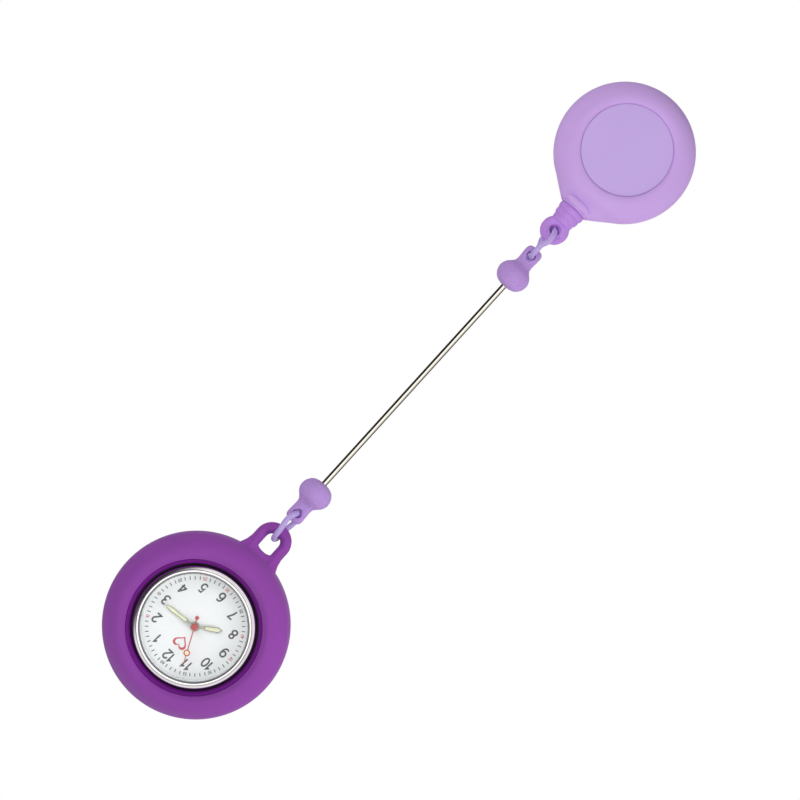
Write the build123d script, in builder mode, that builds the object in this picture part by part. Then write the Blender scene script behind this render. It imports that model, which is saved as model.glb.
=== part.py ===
"""Nurse's fob watch: a clip-on retracting reel, two loose links, a steel rod and a quartz watch.

Millimetres. +Z is up, +X is right and the dial faces -Y. The origin is on the reel's swivel axis, at the
plane where the clip's jaws meet. "Depth" is the distance in front of the chain's middle plane.
"""

import math
import os

from build123d import *

os.makedirs("parts", exist_ok=True)

# ---------------------------------------------------------------- driving dimensions
CHAIN = 10.0  # the chain's middle plane lies this far in front of the clip's bite plane

REEL_R = 16.6  # reel, to the widest part of its rim
REEL_WALL_R = 15.4  # inside of the reel's rim
REEL_FRONT = 5.5  # depth of the crest round the front recess
RECESS_R = 10.75  # shallow round recess in the reel's front
SNOUT_END_Z = -17.9  # lower end of the reel's snout
PLUG_TOP_Z = -18.15  # shoulder of the plug, under the snout

EYELET_Z = -24.1  # hole in the plug's eyelet
EYELET_R = 3.35
LINK_WIRE = 1.6  # wire of both links
LINK_LENGTH = 8.0  # along the wire's centre line
LINK_BEND = 2.9  # bend radius of the wire's centre line
UPPER_WIRE_Z = -24.5  # where the upper link's wire crosses the eyelet
UPPER_BALL_Z = -38.5
LOWER_BALL_Z = -107.8
BALL_R = 3.9
TAB_HOLE = 5.7  # from a ball's centre to the hole in its tab
TAB_WIDTH = 4.1
TAB_THICK = 2.2
ROD_R = 0.7
LOWER_WIRE_Z = -113.7  # where the lower link's wire crosses the lower tab

WATCH_Z = -148.8  # centre of the dial
JACKET_R = 22.0
JACKET_LIP_R = 15.05
CASE_R = 15.6
CASE_BORE_R = 12.75
DIAL_R = 12.6
DIAL_FACE = 2.6  # depth of the dial's printed face
CROWN_DEPTH = -0.2  # depth of the winding stem's axis

MINUTE_ANGLE = 85.3  # clockwise from twelve, which points straight down
HOUR_ANGLE = 236.9
SECOND_ANGLE = 334.3

THIRD = (2.04, 3.533)  # third wheel's axis, from the dial's centre
FIFTH = (-2.368, -0.862)
ROTOR = (-3.988, -2.792)
MINUTE_WHEEL = (1.2, -2.0785)
BATTERY = (4.03, -4.03)
COIL = (-5.59, -4.69)
COIL_DIR = (-0.643, 0.766)
PILLARS = [(-1.2, 7.2), (6.6, 1.0), (-0.9, -4.6)]


# ---------------------------------------------------------------- shared shapes
def front(depth, z=0.0, x=0.0, turn=0.0):
    """Plane facing the viewer at a depth, its own x axis turned clockwise from +X by turn degrees."""
    angle = math.radians(turn)
    return Plane(
        origin=(x, -(CHAIN + depth), z),
        x_dir=(math.cos(angle), 0, -math.sin(angle)),
        z_dir=(0, -1, 0),
    )


def hand_plane(depth, angle):
    """Plane on the dial whose x axis points at a time, clockwise from twelve."""
    return front(depth, WATCH_Z, 0.0, 90.0 + angle)


def turned(outline, z, x=0.0, mode=Mode.ADD):
    """Turn an outline of (radius, depth) points about the front-to-back axis through (x, z)."""
    with BuildSketch(Plane.XY.offset(z)) as section:
        with BuildLine():
            Polyline(*[(x + r, -(CHAIN + depth)) for r, depth in outline], close=True)
        make_face()
    revolve(section.sketch, axis=Axis((x, 0, z), (0, 1, 0)), mode=mode)


def upright(outline, mode=Mode.ADD):
    """Turn an outline of (radius, height) points about the chain's vertical line."""
    with BuildSketch(Plane.XZ.offset(CHAIN)) as section:
        with BuildLine():
            Polyline(*outline, close=True)
        make_face()
    revolve(section.sketch, axis=Axis((0, -CHAIN, 0), (0, 0, 1)), mode=mode)


def ring(outer, inner, low, high, x, z, mode=Mode.ADD):
    """Flat ring, or a disc where inner is zero, from depth low to depth high."""
    with BuildSketch(front(low, z, x)) as section:
        Circle(outer)
        if inner > 0:
            Circle(inner, mode=Mode.SUBTRACT)
    extrude(section.sketch, amount=high - low, mode=mode)


def slab(outline, low, high, x, z, mode=Mode.ADD):
    """Flat plate with a straight-sided outline about (x, z), from depth low to depth high."""
    with BuildSketch(front(low, z, x)) as section:
        with BuildLine():
            Polyline(*outline, close=True)
        make_face()
    extrude(section.sketch, amount=high - low, mode=mode)


def gear(teeth, module, phase, low, high, x, z):
    """Straight-flanked gear with one tooth at phase degrees, measured from +X towards +Z."""
    pitch_r = module * teeth / 2
    step = 2 * math.pi / teeth
    corners = []
    for tooth in range(teeth):
        middle = math.radians(phase) + tooth * step
        for radius, share in (
            (pitch_r - 1.1 * module, -0.23),
            (pitch_r + 0.8 * module, -0.10),
            (pitch_r + 0.8 * module, 0.10),
            (pitch_r - 1.1 * module, 0.23),
        ):
            angle = middle + share * step
            corners.append((radius * math.cos(angle), radius * math.sin(angle)))
    slab(corners, low, high, x, z)


def bearing(point):
    """Direction of a point from the dial's centre, in degrees from +X towards +Z."""
    return math.degrees(math.atan2(point[1], point[0]))


def between(start, end):
    """Direction from one axis to another, in degrees from +X towards +Z."""
    return math.degrees(math.atan2(end[1] - start[1], end[0] - start[0]))


def at_watch(point):
    """World (x, z) of a point measured from the dial's centre."""
    return point[0], WATCH_Z + point[1]


def wire_link(top_wire_z):
    """Closed racetrack of round wire in the side plane, its top bend crossing y = -CHAIN at top_wire_z."""
    high = top_wire_z - LINK_BEND
    low = top_wire_z - LINK_LENGTH + LINK_BEND
    near = -CHAIN - LINK_BEND
    far = -CHAIN + LINK_BEND
    with BuildLine(Plane.YZ) as path:
        Line((far, low), (far, high))
        ThreePointArc((far, high), (-CHAIN, top_wire_z), (near, high))
        Line((near, high), (near, low))
        ThreePointArc((near, low), (-CHAIN, top_wire_z - LINK_LENGTH), (far, low))
    with BuildSketch(Plane(origin=(0, far, low), z_dir=(0, 0, 1))) as section:
        Circle(LINK_WIRE / 2)
    sweep(section.sketch, path=path.wire())


def ball_end(centre_z, way):
    """Ball with a flat pierced tab; way is +1 where the tab points up and -1 where it points down."""
    with BuildSketch(Plane.XZ.offset(CHAIN)) as section:
        with BuildLine():
            Line((0, centre_z + way * 4.5), (0, centre_z - way * 3.4))
            Line((0, centre_z - way * 3.4), (0.9, centre_z - way * 3.4))
            Spline(
                (0.9, centre_z - way * 3.4),
                (3.0, centre_z - way * 2.45),
                (BALL_R, centre_z - way * 0.1),
                (3.1, centre_z + way * 2.35),
                (2.15, centre_z + way * 3.7),
                (2.0, centre_z + way * 4.5),
                tangents=[(1, 0), (0, way)],
            )
            Line((2.0, centre_z + way * 4.5), (0, centre_z + way * 4.5))
        make_face()
    revolve(section.sketch, axis=Axis((0, -CHAIN, 0), (0, 0, 1)))
    tab_long = TAB_HOLE + 2.4
    with BuildSketch(front(-TAB_THICK / 2, centre_z + way * tab_long / 2)) as tab:
        RectangleRounded(TAB_WIDTH, tab_long, 0.95)
    extrude(tab.sketch, amount=TAB_THICK)
    ring(1.2, 0, -TAB_THICK / 2, TAB_THICK / 2, 0, centre_z + way * TAB_HOLE, mode=Mode.SUBTRACT)
    hole_z = centre_z + way * TAB_HOLE
    for face in (-1, 1):
        turned(
            [
                (1.15, face * 0.3),
                (1.2, face * 0.3),
                (1.24, face * 0.55),
                (1.38, face * 0.8),
                (1.58, face * 0.97),
                (1.8, face * 1.06),
                (1.85, face * 1.3),
                (1.15, face * 1.3),
            ],
            hole_z,
            mode=Mode.SUBTRACT,
        )
    with BuildSketch(Plane.XY.offset(centre_z - way * 1.0)) as bore:
        with Locations((0, -CHAIN)):
            Circle(ROD_R + 0.02)
    extrude(bore.sketch, amount=-way * 3.0, mode=Mode.SUBTRACT)


def bar_hand(outline, slot, depth, thick, angle, hub, hole):
    """Hand with a slot for its luminous filling, pressed on a tube of radius hole."""
    with BuildSketch(hand_plane(depth, angle)) as shape:
        with BuildLine():
            Polyline(*outline, close=True)
        make_face()
        Circle(hub)
        Circle(hole, mode=Mode.SUBTRACT)
        with BuildLine():
            Polyline(*slot, close=True)
        make_face(mode=Mode.SUBTRACT)
    extrude(shape.sketch, amount=thick)


def filling(outline, depth, thick, angle):
    """Luminous filling set in a hand's slot."""
    with BuildSketch(hand_plane(depth, angle)) as shape:
        with BuildLine():
            Polyline(*outline, close=True)
        make_face()
    extrude(shape.sketch, amount=thick)


# ---------------------------------------------------------------- clip behind the reel
HINGE_Z = 3.0
JAW_TIP_Z = -15.5

with BuildPart() as clip_base_jaw:
    with BuildSketch(Plane.XZ.offset(3.5)):
        with Locations((0, -2.25)):
            RectangleRounded(9.2, 26.5, 1.2)
    extrude(amount=0.8)
    with BuildSketch(Plane.YZ):
        with BuildLine():
            Polyline((-4.3, -7), (-4.3, 9), (-3.5, 9), (1.3, 4.6))
            Polyline((1.3, 4.6), (1.3, 1.4), (-1.0, -0.6), (-3.5, -7), (-4.3, -7))
        make_face()
    extrude(amount=4.6, both=True)
    with BuildSketch(Plane.YZ):
        with Locations((-0.5, 1.0)):
            Rectangle(6.0, 20.0)
    extrude(amount=3.8, both=True, mode=Mode.SUBTRACT)
    with BuildSketch(Plane.XY.offset(JAW_TIP_Z)):
        with Locations((0, -2.2)):
            Rectangle(8.4, 4.2)
    extrude(amount=0.8)
    with BuildSketch(Plane.XY.offset(JAW_TIP_Z)):
        with Locations([(-2.8, -0.1), (-0.7, -0.1), (1.4, -0.1), (3.5, -0.1)]):
            Rectangle(0.8, 0.8)
    extrude(amount=0.8, mode=Mode.SUBTRACT)
    with BuildSketch(Plane.YZ):
        with Locations((0, HINGE_Z)):
            Circle(0.8)
    extrude(amount=5, both=True, mode=Mode.SUBTRACT)
    with BuildSketch(Plane.XZ.offset(3)):
        Circle(1.5)
    extrude(amount=2, mode=Mode.SUBTRACT)
clip_base_jaw.part.label = "clip_base_jaw"
export_step(clip_base_jaw.part, "parts/clip_base_jaw.step")

with BuildPart() as clip_lever_jaw:
    with BuildSketch(Plane.YZ):
        with BuildLine():
            Polyline(
                (2.6, -14.7),
                (2.6, 5.0),
                (6.2, 12.6),
                (7.0, 12.3),
                (3.4, 4.8),
                (3.4, -15.5),
                (0.1, -15.5),
                (0.1, -14.7),
                close=True,
            )
        make_face()
    extrude(amount=4.4, both=True)
    with BuildSketch(Plane.YZ):
        with BuildLine():
            Polyline((3.0, -7), (3.0, 6), (1.3, 4.8), (-1.3, 4.2))
            Polyline((-1.3, 4.2), (-1.3, 1.8), (0.4, 0.4), (1.4, -3.0), (3.0, -7))
        make_face()
    extrude(amount=3.6, both=True)
    with BuildSketch(Plane.YZ):
        with Locations((0.1, 1.0)):
            Rectangle(5.0, 20.0)
    extrude(amount=2.8, both=True, mode=Mode.SUBTRACT)
    with BuildSketch(Plane.XY.offset(JAW_TIP_Z)):
        with Locations([(-3.5, 0.1), (-1.4, 0.1), (0.7, 0.1), (2.8, 0.1)]):
            Rectangle(0.8, 0.8)
    extrude(amount=0.8, mode=Mode.SUBTRACT)
    with BuildSketch(Plane.YZ):
        with Locations((0, HINGE_Z)):
            Circle(0.85)
    extrude(amount=5, both=True, mode=Mode.SUBTRACT)
clip_lever_jaw.part.label = "clip_lever_jaw"
export_step(clip_lever_jaw.part, "parts/clip_lever_jaw.step")

with BuildPart() as clip_hinge_pin:
    with BuildSketch(Plane.YZ.offset(-4.65)):
        with Locations((0, HINGE_Z)):
            Circle(0.78)
    extrude(amount=9.3)
    with BuildSketch(Plane.YZ.offset(-5.0)):
        with Locations((0, HINGE_Z)):
            Circle(1.2)
    extrude(amount=0.35)
    with BuildSketch(Plane.YZ.offset(4.65)):
        with Locations((0, HINGE_Z)):
            Circle(1.2)
    extrude(amount=0.35)
clip_hinge_pin.part.label = "clip_hinge_pin"
export_step(clip_hinge_pin.part, "parts/clip_hinge_pin.step")

# Torsion spring on the hinge pin, one leg on each half of the clip.
with BuildPart() as clip_spring:
    with BuildSketch(Plane.XY.offset(HINGE_Z)):
        with BuildLine():
            Polyline((1.8, 1.15), (1.8, 0.9), (-1.8, 0.9), (-1.8, 1.15))
            for turn in range(6):
                start_x = -1.8 + 0.6 * turn
                ThreePointArc((start_x, 1.15), (start_x + 0.3, 1.45), (start_x + 0.6, 1.15))
        make_face()
    revolve(axis=Axis((0, 0, HINGE_Z), (1, 0, 0)))
    for leg_x, tip_y in ((-1.5, -3.15), (1.5, 2.6)):
        with BuildLine(Plane.YZ.offset(leg_x)) as leg_path:
            Line((0.35 * tip_y, HINGE_Z + 0.5), (tip_y, HINGE_Z + 4.2))
        with BuildSketch(Plane(origin=leg_path.wire() @ 0, z_dir=leg_path.wire() % 0)):
            Circle(0.22)
        sweep(path=leg_path.wire())
clip_spring.part.label = "clip_spring"
export_step(clip_spring.part, "parts/clip_spring.step")

# Hollow rivet the reel turns on: a head inside the clip and a flared end inside the reel.
with BuildPart() as clip_swivel_rivet:
    turned(
        [
            (0.5, -7.1),
            (2.3, -7.1),
            (2.3, -6.52),
            (1.45, -6.52),
            (1.45, -4.25),
            (2.2, -4.25),
            (2.2, -3.8),
            (0.5, -3.8),
        ],
        0,
    )
clip_swivel_rivet.part.label = "clip_swivel_rivet"
export_step(clip_swivel_rivet.part, "parts/clip_swivel_rivet.step")

# ---------------------------------------------------------------- retracting reel
SNOUT_SECTIONS = [(-11.6, 11.6, 4.9), (-13.6, 9.45, 4.55), (-15.8, 6.35, 3.9), (SNOUT_END_Z, 3.66, 3.6)]


def snout(low, high):
    """Half of the flaring snout, between two depths, with the bore for the outlet bushing."""
    with BuildPart(mode=Mode.PRIVATE) as flare:
        for z, half_width, half_depth in SNOUT_SECTIONS:
            with BuildSketch(Plane.XY.offset(z)):
                with Locations((0, -CHAIN)):
                    Ellipse(half_width, half_depth)
        loft()
        with BuildSketch(Plane.XY.offset(-16)):
            with Locations((0, -CHAIN - (low + high) / 2)):
                Rectangle(40, high - low)
        extrude(amount=12, both=True, mode=Mode.INTERSECT)
    add(flare.part)


def hollow(outline):
    """Clear the inside of the reel to a (radius, depth) outline, and the snout's bore."""
    turned(outline, 0, mode=Mode.SUBTRACT)
    upright([(0, -13), (2.55, -13), (2.55, -19), (0, -19)], mode=Mode.SUBTRACT)


with BuildPart() as reel_front_shell:
    snout(0, 6)
    hollow([(0, 0), (0, 3.6), (12.6, 3.6), (14.3, 2.6), (REEL_WALL_R, 1.0), (REEL_WALL_R, 0)])
    with BuildSketch(Plane.XY):
        with BuildLine():
            Line((REEL_WALL_R, -CHAIN), (REEL_R, -CHAIN))
            Spline(
                (REEL_R, -CHAIN),
                (16.05, -CHAIN - 2.6),
                (14.5, -CHAIN - 4.55),
                (12.2, -CHAIN - REEL_FRONT),
                tangents=[(0, -1), (-1, 0)],
            )
            Polyline(
                (12.2, -CHAIN - REEL_FRONT),
                (11.1, -CHAIN - 5.46),
                (RECESS_R, -CHAIN - 5.25),
                (RECESS_R, -CHAIN - 4.6),
                (0, -CHAIN - 4.6),
                (0, -CHAIN - 3.6),
                (12.6, -CHAIN - 3.6),
                (14.3, -CHAIN - 2.6),
                (REEL_WALL_R, -CHAIN - 1.0),
                (REEL_WALL_R, -CHAIN),
            )
        make_face()
    revolve(axis=Axis((0, 0, 0), (0, 1, 0)))
    with BuildSketch(front(2.9, -16.75)) as ridge:
        RectangleRounded(6.3, 1.9, 0.6)
    extrude(amount=1.15)
    upright([(0, -13), (2.55, -13), (2.55, -19), (0, -19)], mode=Mode.SUBTRACT)
reel_front_shell.part.label = "reel_front_shell"
export_step(reel_front_shell.part, "parts/reel_front_shell.step")

# Shallow printed-label disc set in the front recess.
with BuildPart() as front_inlay:
    turned([(0, 4.62), (10.6, 4.62), (10.6, 4.95), (10.4, 5.1), (0, 5.1)], 0)
front_inlay.part.label = "front_inlay"
export_step(front_inlay.part, "parts/front_inlay.step")

with BuildPart() as reel_back_shell:
    snout(-6, -0.02)
    hollow([(0, 0), (0, -4.3), (13.6, -4.3), (REEL_WALL_R, -2.6), (REEL_WALL_R, 0)])
    with BuildSketch(Plane.XY):
        with BuildLine():
            Line((REEL_WALL_R, -CHAIN + 0.02), (REEL_R, -CHAIN + 0.02))
            Spline(
                (REEL_R, -CHAIN + 0.02),
                (16.3, -CHAIN + 2.9),
                (15.4, -CHAIN + 4.7),
                (13.6, -CHAIN + 5.5),
                tangents=[(0, 1), (-1, 0)],
            )
            Polyline(
                (13.6, -CHAIN + 5.5),
                (1.5, -CHAIN + 5.5),
                (1.5, -CHAIN + 4.3),
                (13.6, -CHAIN + 4.3),
                (REEL_WALL_R, -CHAIN + 2.6),
                (REEL_WALL_R, -CHAIN + 0.02),
            )
        make_face()
    revolve(axis=Axis((0, 0, 0), (0, 1, 0)))
    upright([(0, -13), (2.55, -13), (2.55, -19), (0, -19)], mode=Mode.SUBTRACT)
reel_back_shell.part.label = "reel_back_shell"
export_step(reel_back_shell.part, "parts/reel_back_shell.step")

with BuildPart() as outlet_bushing:
    upright([(1.75, -17.85), (1.75, -15.9), (2.0, -15.5), (2.5, -15.5), (2.5, -17.85)])
outlet_bushing.part.label = "outlet_bushing"
export_step(outlet_bushing.part, "parts/outlet_bushing.step")

with BuildPart() as spool_axle:
    turned(
        [
            (0, 3.6),
            (2.6, 3.6),
            (2.6, 3.2),
            (1.5, 3.2),
            (1.5, -3.05),
            (2.3, -3.05),
            (2.3, -3.5),
            (0, -3.5),
        ],
        0,
    )
spool_axle.part.label = "spool_axle"
export_step(spool_axle.part, "parts/spool_axle.step")

# Length of cord between the wound turns and the outlet; it keeps this path while the cord runs through it.
with BuildPart() as cord_run:
    with BuildLine(Plane.XZ.offset(CHAIN)) as cord_path:
        FilletPolyline((6.91, -9.62), (0, -14.55), (0, -15.4), radius=0.8)
    with BuildSketch(Plane(origin=cord_path.wire() @ 0, z_dir=cord_path.wire() % 0)):
        Circle(0.38)
    sweep(path=cord_path.wire())
cord_run.part.label = "cord_run"
export_step(cord_run.part, "parts/cord_run.step")

with BuildPart() as spool:
    turned(
        [
            (1.6, 3.0),
            (13.2, 3.0),
            (13.2, 2.3),
            (8.6, 2.3),
            (8.6, -2.2),
            (13.2, -2.2),
            (13.2, -2.9),
            (7.6, -2.9),
            (7.6, 2.2),
            (2.5, 2.2),
            (2.5, -2.9),
            (1.6, -2.9),
        ],
        0,
    )
    with BuildSketch(front(2.2)):
        with PolarLocations(5.0, 5):
            Circle(0.9)
    extrude(amount=0.9, mode=Mode.SUBTRACT)
spool.part.label = "spool"
export_step(spool.part, "parts/spool.step")

# Wound cord, three layers of five turns.
with BuildPart() as cord_winding:
    with BuildSketch(Plane.XY):
        with BuildLine():
            Polyline((10.9, -CHAIN + 2.1), (8.65, -CHAIN + 2.1), (8.65, -CHAIN - 2.1), (10.9, -CHAIN - 2.1))
            for turn in range(5):
                start_y = -CHAIN - 2.1 + 0.84 * turn
                ThreePointArc((10.9, start_y), (11.32, start_y + 0.42), (10.9, start_y + 0.84))
        make_face()
    revolve(axis=Axis((0, 0, 0), (0, 1, 0)))
cord_winding.part.label = "cord_winding"
export_step(cord_winding.part, "parts/cord_winding.step")

# Flat spiral spring in the drum.
SPRING_TURNS = 7
with BuildPart() as power_spring:
    inner_edge = []
    outer_edge = []
    for count in range(SPRING_TURNS * 24 + 1):
        angle = count * math.pi / 12
        radius = 2.8 + 4.5 * count / (SPRING_TURNS * 24)
        inner_edge.append((radius * math.cos(angle), radius * math.sin(angle)))
        outer_edge.append(((radius + 0.22) * math.cos(angle), (radius + 0.22) * math.sin(angle)))
    slab(inner_edge + outer_edge[::-1], -2.6, 1.9, 0, 0)
power_spring.part.label = "power_spring"
export_step(power_spring.part, "parts/power_spring.step")

# ---------------------------------------------------------------- plug, cord end and links
with BuildPart() as cord_plug:
    upright(
        [
            (1.05, -16.0),
            (1.6, -16.0),
            (1.6, PLUG_TOP_Z),
            (3.1, PLUG_TOP_Z),
            (3.25, PLUG_TOP_Z - 0.15),
            (3.25, -19.15),
            (3.1, -19.4),
            (2.7, -19.5),
            (2.7, -19.75),
            (2.85, -19.85),
            (2.85, -20.75),
            (2.7, -20.95),
            (2.3, -21.05),
            (2.25, -22.3),
            (0, -22.3),
            (0, -20.5),
            (1.05, -20.5),
        ]
    )
    with BuildSketch(Plane.XY.offset(EYELET_Z - 0.3)):
        with Locations((0, -CHAIN)):
            RectangleRounded(2 * EYELET_R, 3.0, 0.95)
        with Locations((EYELET_R, -CHAIN)):
            Rectangle(2 * EYELET_R, 3.0, mode=Mode.INTERSECT)
    revolve(axis=Axis((0, 0, EYELET_Z - 0.3), (0, 1, 0)))
    ring(1.4, 0, -1.5, 1.5, 0, EYELET_Z, mode=Mode.SUBTRACT)
    for side in (-1, 1):
        turned(
            [
                (1.35, side * 0.45),
                (1.4, side * 0.5),
                (1.45, side * 0.8),
                (1.6, side * 1.1),
                (1.9, side * 1.36),
                (2.3, side * 1.49),
                (2.35, side * 1.7),
                (1.35, side * 1.7),
            ],
            EYELET_Z,
            mode=Mode.SUBTRACT,
        )
cord_plug.part.label = "cord_plug"
export_step(cord_plug.part, "parts/cord_plug.step")

with BuildPart() as cord_crimp:
    upright([(0.42, -17.4), (1.0, -17.4), (1.0, -20.4), (0.42, -20.4)])
cord_crimp.part.label = "cord_crimp"
export_step(cord_crimp.part, "parts/cord_crimp.step")

# Cord end between the outlet and the crimp; it grows longer as the plug is pulled.
with BuildPart() as cord_lead:
    upright([(0, -15.5), (0.38, -15.5), (0.38, -20.35), (0, -20.35)])
cord_lead.part.label = "cord_lead"
export_step(cord_lead.part, "parts/cord_lead.step")

with BuildPart() as upper_link:
    wire_link(UPPER_WIRE_Z)
upper_link.part.label = "upper_link"
export_step(upper_link.part, "parts/upper_link.step")

with BuildPart() as upper_ball_end:
    ball_end(UPPER_BALL_Z, 1)
upper_ball_end.part.label = "upper_ball_end"
export_step(upper_ball_end.part, "parts/upper_ball_end.step")

with BuildPart() as rod:
    with BuildSketch(Plane.XY.offset(LOWER_BALL_Z + 1.05)):
        with Locations((0, -CHAIN)):
            Circle(ROD_R)
    extrude(amount=UPPER_BALL_Z - LOWER_BALL_Z - 2.1)
    chamfer(rod.faces().filter_by(Axis.Z).edges(), 0.15)
rod.part.label = "rod"
export_step(rod.part, "parts/rod.step")

with BuildPart() as lower_ball_end:
    ball_end(LOWER_BALL_Z, -1)
lower_ball_end.part.label = "lower_ball_end"
export_step(lower_ball_end.part, "parts/lower_ball_end.step")

with BuildPart() as lower_link:
    wire_link(LOWER_WIRE_Z)
lower_link.part.label = "lower_link"
export_step(lower_link.part, "parts/lower_link.step")

# ---------------------------------------------------------------- soft jacket
BAIL_BAR_R = 1.4  # round bar of the bail
BAIL_BAR = 29.5  # bar's centre line at the top of the loop, from the dial's centre
BAIL_HALF_WIDTH = 3.2  # to the centre line of each leg
BAIL_HOLE_LOW = 23.1

with BuildPart() as watch_jacket:
    with BuildLine(front(0, WATCH_Z)) as bail_path:
        Line((BAIL_HALF_WIDTH, 19.5), (BAIL_HALF_WIDTH, 26.3))
        ThreePointArc((BAIL_HALF_WIDTH, 26.3), (0, BAIL_BAR), (-BAIL_HALF_WIDTH, 26.3))
        Line((-BAIL_HALF_WIDTH, 26.3), (-BAIL_HALF_WIDTH, 19.5))
    with BuildSketch(Plane(origin=bail_path.wire() @ 0, z_dir=bail_path.wire() % 0)):
        Circle(BAIL_BAR_R)
    sweep(path=bail_path.wire())
    with BuildSketch(front(-1.15, WATCH_Z)):
        with BuildLine():
            Spline((6.8, 20.0), (5.5, 22.1), (4.5, 25.0), tangents=[(-0.6, 0.8), (-0.1, 1)])
            Polyline((4.5, 25.0), (3.4, 25.0), (2.7, 23.8), (2.0, BAIL_HOLE_LOW), (-2.0, BAIL_HOLE_LOW))
            Polyline((-2.0, BAIL_HOLE_LOW), (-2.7, 23.8), (-3.4, 25.0), (-4.5, 25.0))
            Spline((-4.5, 25.0), (-5.5, 22.1), (-6.8, 20.0), tangents=[(-0.1, -1), (-0.6, -0.8)])
            Line((-6.8, 20.0), (6.8, 20.0))
        make_face()
    extrude(amount=2.3)
    with BuildSketch(Plane.XY.offset(WATCH_Z)):
        with BuildLine():
            Spline(
                (JACKET_LIP_R, -CHAIN - 4.9),
                (16.0, -CHAIN - 6.1),
                (17.6, -CHAIN - 6.6),
                tangents=[(0.35, -1), (1, 0)],
            )
            Spline(
                (17.6, -CHAIN - 6.6),
                (20.5, -CHAIN - 4.75),
                (JACKET_R, -CHAIN),
                tangents=[(1, 0), (0, 1)],
            )
            Spline(
                (JACKET_R, -CHAIN),
                (20.9, -CHAIN + 3.8),
                (18.0, -CHAIN + 5.4),
                tangents=[(0, 1), (-1, 0)],
            )
            Polyline(
                (18.0, -CHAIN + 5.4),
                (11.2, -CHAIN + 5.4),
                (10.5, -CHAIN + 4.7),
                (10.5, -CHAIN + 3.3),
                (15.65, -CHAIN + 3.3),
                (15.65, -CHAIN - 3.3),
                (JACKET_LIP_R, -CHAIN - 3.6),
                (JACKET_LIP_R, -CHAIN - 4.9),
            )
        make_face()
    revolve(axis=Axis((0, 0, WATCH_Z), (0, 1, 0)))
    with BuildSketch(Plane.YZ.offset(-14.5)):
        with Locations((-CHAIN - CROWN_DEPTH, WATCH_Z)):
            Circle(2.3)
    extrude(amount=-4.8, mode=Mode.SUBTRACT)
watch_jacket.part.label = "watch_jacket"
export_step(watch_jacket.part, "parts/watch_jacket.step")

# ---------------------------------------------------------------- watch case
with BuildPart() as watch_case:
    turned(
        [
            (CASE_BORE_R, -2.2),
            (CASE_BORE_R, 4.4),
            (CASE_BORE_R, 5.5),
            (12.9, 5.72),
            (13.15, 5.9),
            (13.45, 5.85),
            (13.6, 5.5),
            (13.68, 5.3),
            (14.05, 5.2),
            (14.35, 4.9),
            (14.4, 4.5),
            (14.4, 3.2),
            (15.2, 3.2),
            (CASE_R, 2.8),
            (CASE_R, -2.6),
            (15.2, -3.1),
            (14.3, -3.1),
            (14.3, -2.2),
        ],
        WATCH_Z,
    )
    with BuildSketch(Plane.YZ.offset(-12)):
        with Locations((-CHAIN - CROWN_DEPTH, WATCH_Z)):
            Circle(1.0)
    extrude(amount=-5, mode=Mode.SUBTRACT)
watch_case.part.label = "watch_case"
export_step(watch_case.part, "parts/watch_case.step")

with BuildPart() as crown_tube:
    with BuildSketch(Plane.YZ.offset(-12.85)):
        with Locations((-CHAIN - CROWN_DEPTH, WATCH_Z)):
            Circle(0.98)
            Circle(0.5, mode=Mode.SUBTRACT)
    extrude(amount=-4.0)
crown_tube.part.label = "crown_tube"
export_step(crown_tube.part, "parts/crown_tube.step")

with BuildPart() as case_back:
    turned(
        [
            (0, -2.5),
            (12.0, -2.5),
            (12.0, -1.8),
            (12.65, -1.8),
            (12.65, -2.5),
            (14.2, -2.5),
            (14.2, -3.0),
            (14.0, -3.2),
            (11.6, -3.2),
            (11.4, -3.1),
            (0, -3.1),
        ],
        WATCH_Z,
    )
    with BuildSketch(front(-3.3, WATCH_Z + 14.2)):
        Rectangle(3.0, 0.7)
    extrude(amount=0.45, mode=Mode.SUBTRACT)
case_back.part.label = "case_back"
export_step(case_back.part, "parts/case_back.step")

with BuildPart() as case_back_gasket:
    ring(14.1, 12.9, -2.49, -2.21, 0, WATCH_Z)
case_back_gasket.part.label = "case_back_gasket"
export_step(case_back_gasket.part, "parts/case_back_gasket.step")

with BuildPart() as crystal:
    turned([(0, 4.45), (12.45, 4.45), (12.45, 5.35), (12.3, 5.5), (0, 5.5)], WATCH_Z)
crystal.part.label = "crystal"
export_step(crystal.part, "parts/crystal.step")

with BuildPart() as crystal_gasket:
    turned([(12.5, 4.45), (12.72, 4.45), (12.72, 5.35), (12.5, 5.35)], WATCH_Z)
crystal_gasket.part.label = "crystal_gasket"
export_step(crystal_gasket.part, "parts/crystal_gasket.step")

with BuildPart() as dial_ring:
    turned([(12.25, 2.62), (12.7, 2.62), (12.7, 4.4), (12.5, 4.4)], WATCH_Z)
dial_ring.part.label = "dial_ring"
export_step(dial_ring.part, "parts/dial_ring.step")

with BuildPart() as dial:
    ring(DIAL_R, 0.95, 2.2, DIAL_FACE, 0, WATCH_Z)
dial.part.label = "dial"
export_step(dial.part, "parts/dial.step")

# ---------------------------------------------------------------- movement
with BuildPart() as movement_holder:
    ring(12.6, 9.9, -1.6, 2.18, 0, WATCH_Z)
    with BuildSketch(Plane.YZ.offset(-9)):
        with Locations((-CHAIN - CROWN_DEPTH, WATCH_Z)):
            Circle(0.7)
    extrude(amount=-4, mode=Mode.SUBTRACT)
movement_holder.part.label = "movement_holder"
export_step(movement_holder.part, "parts/movement_holder.step")

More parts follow.
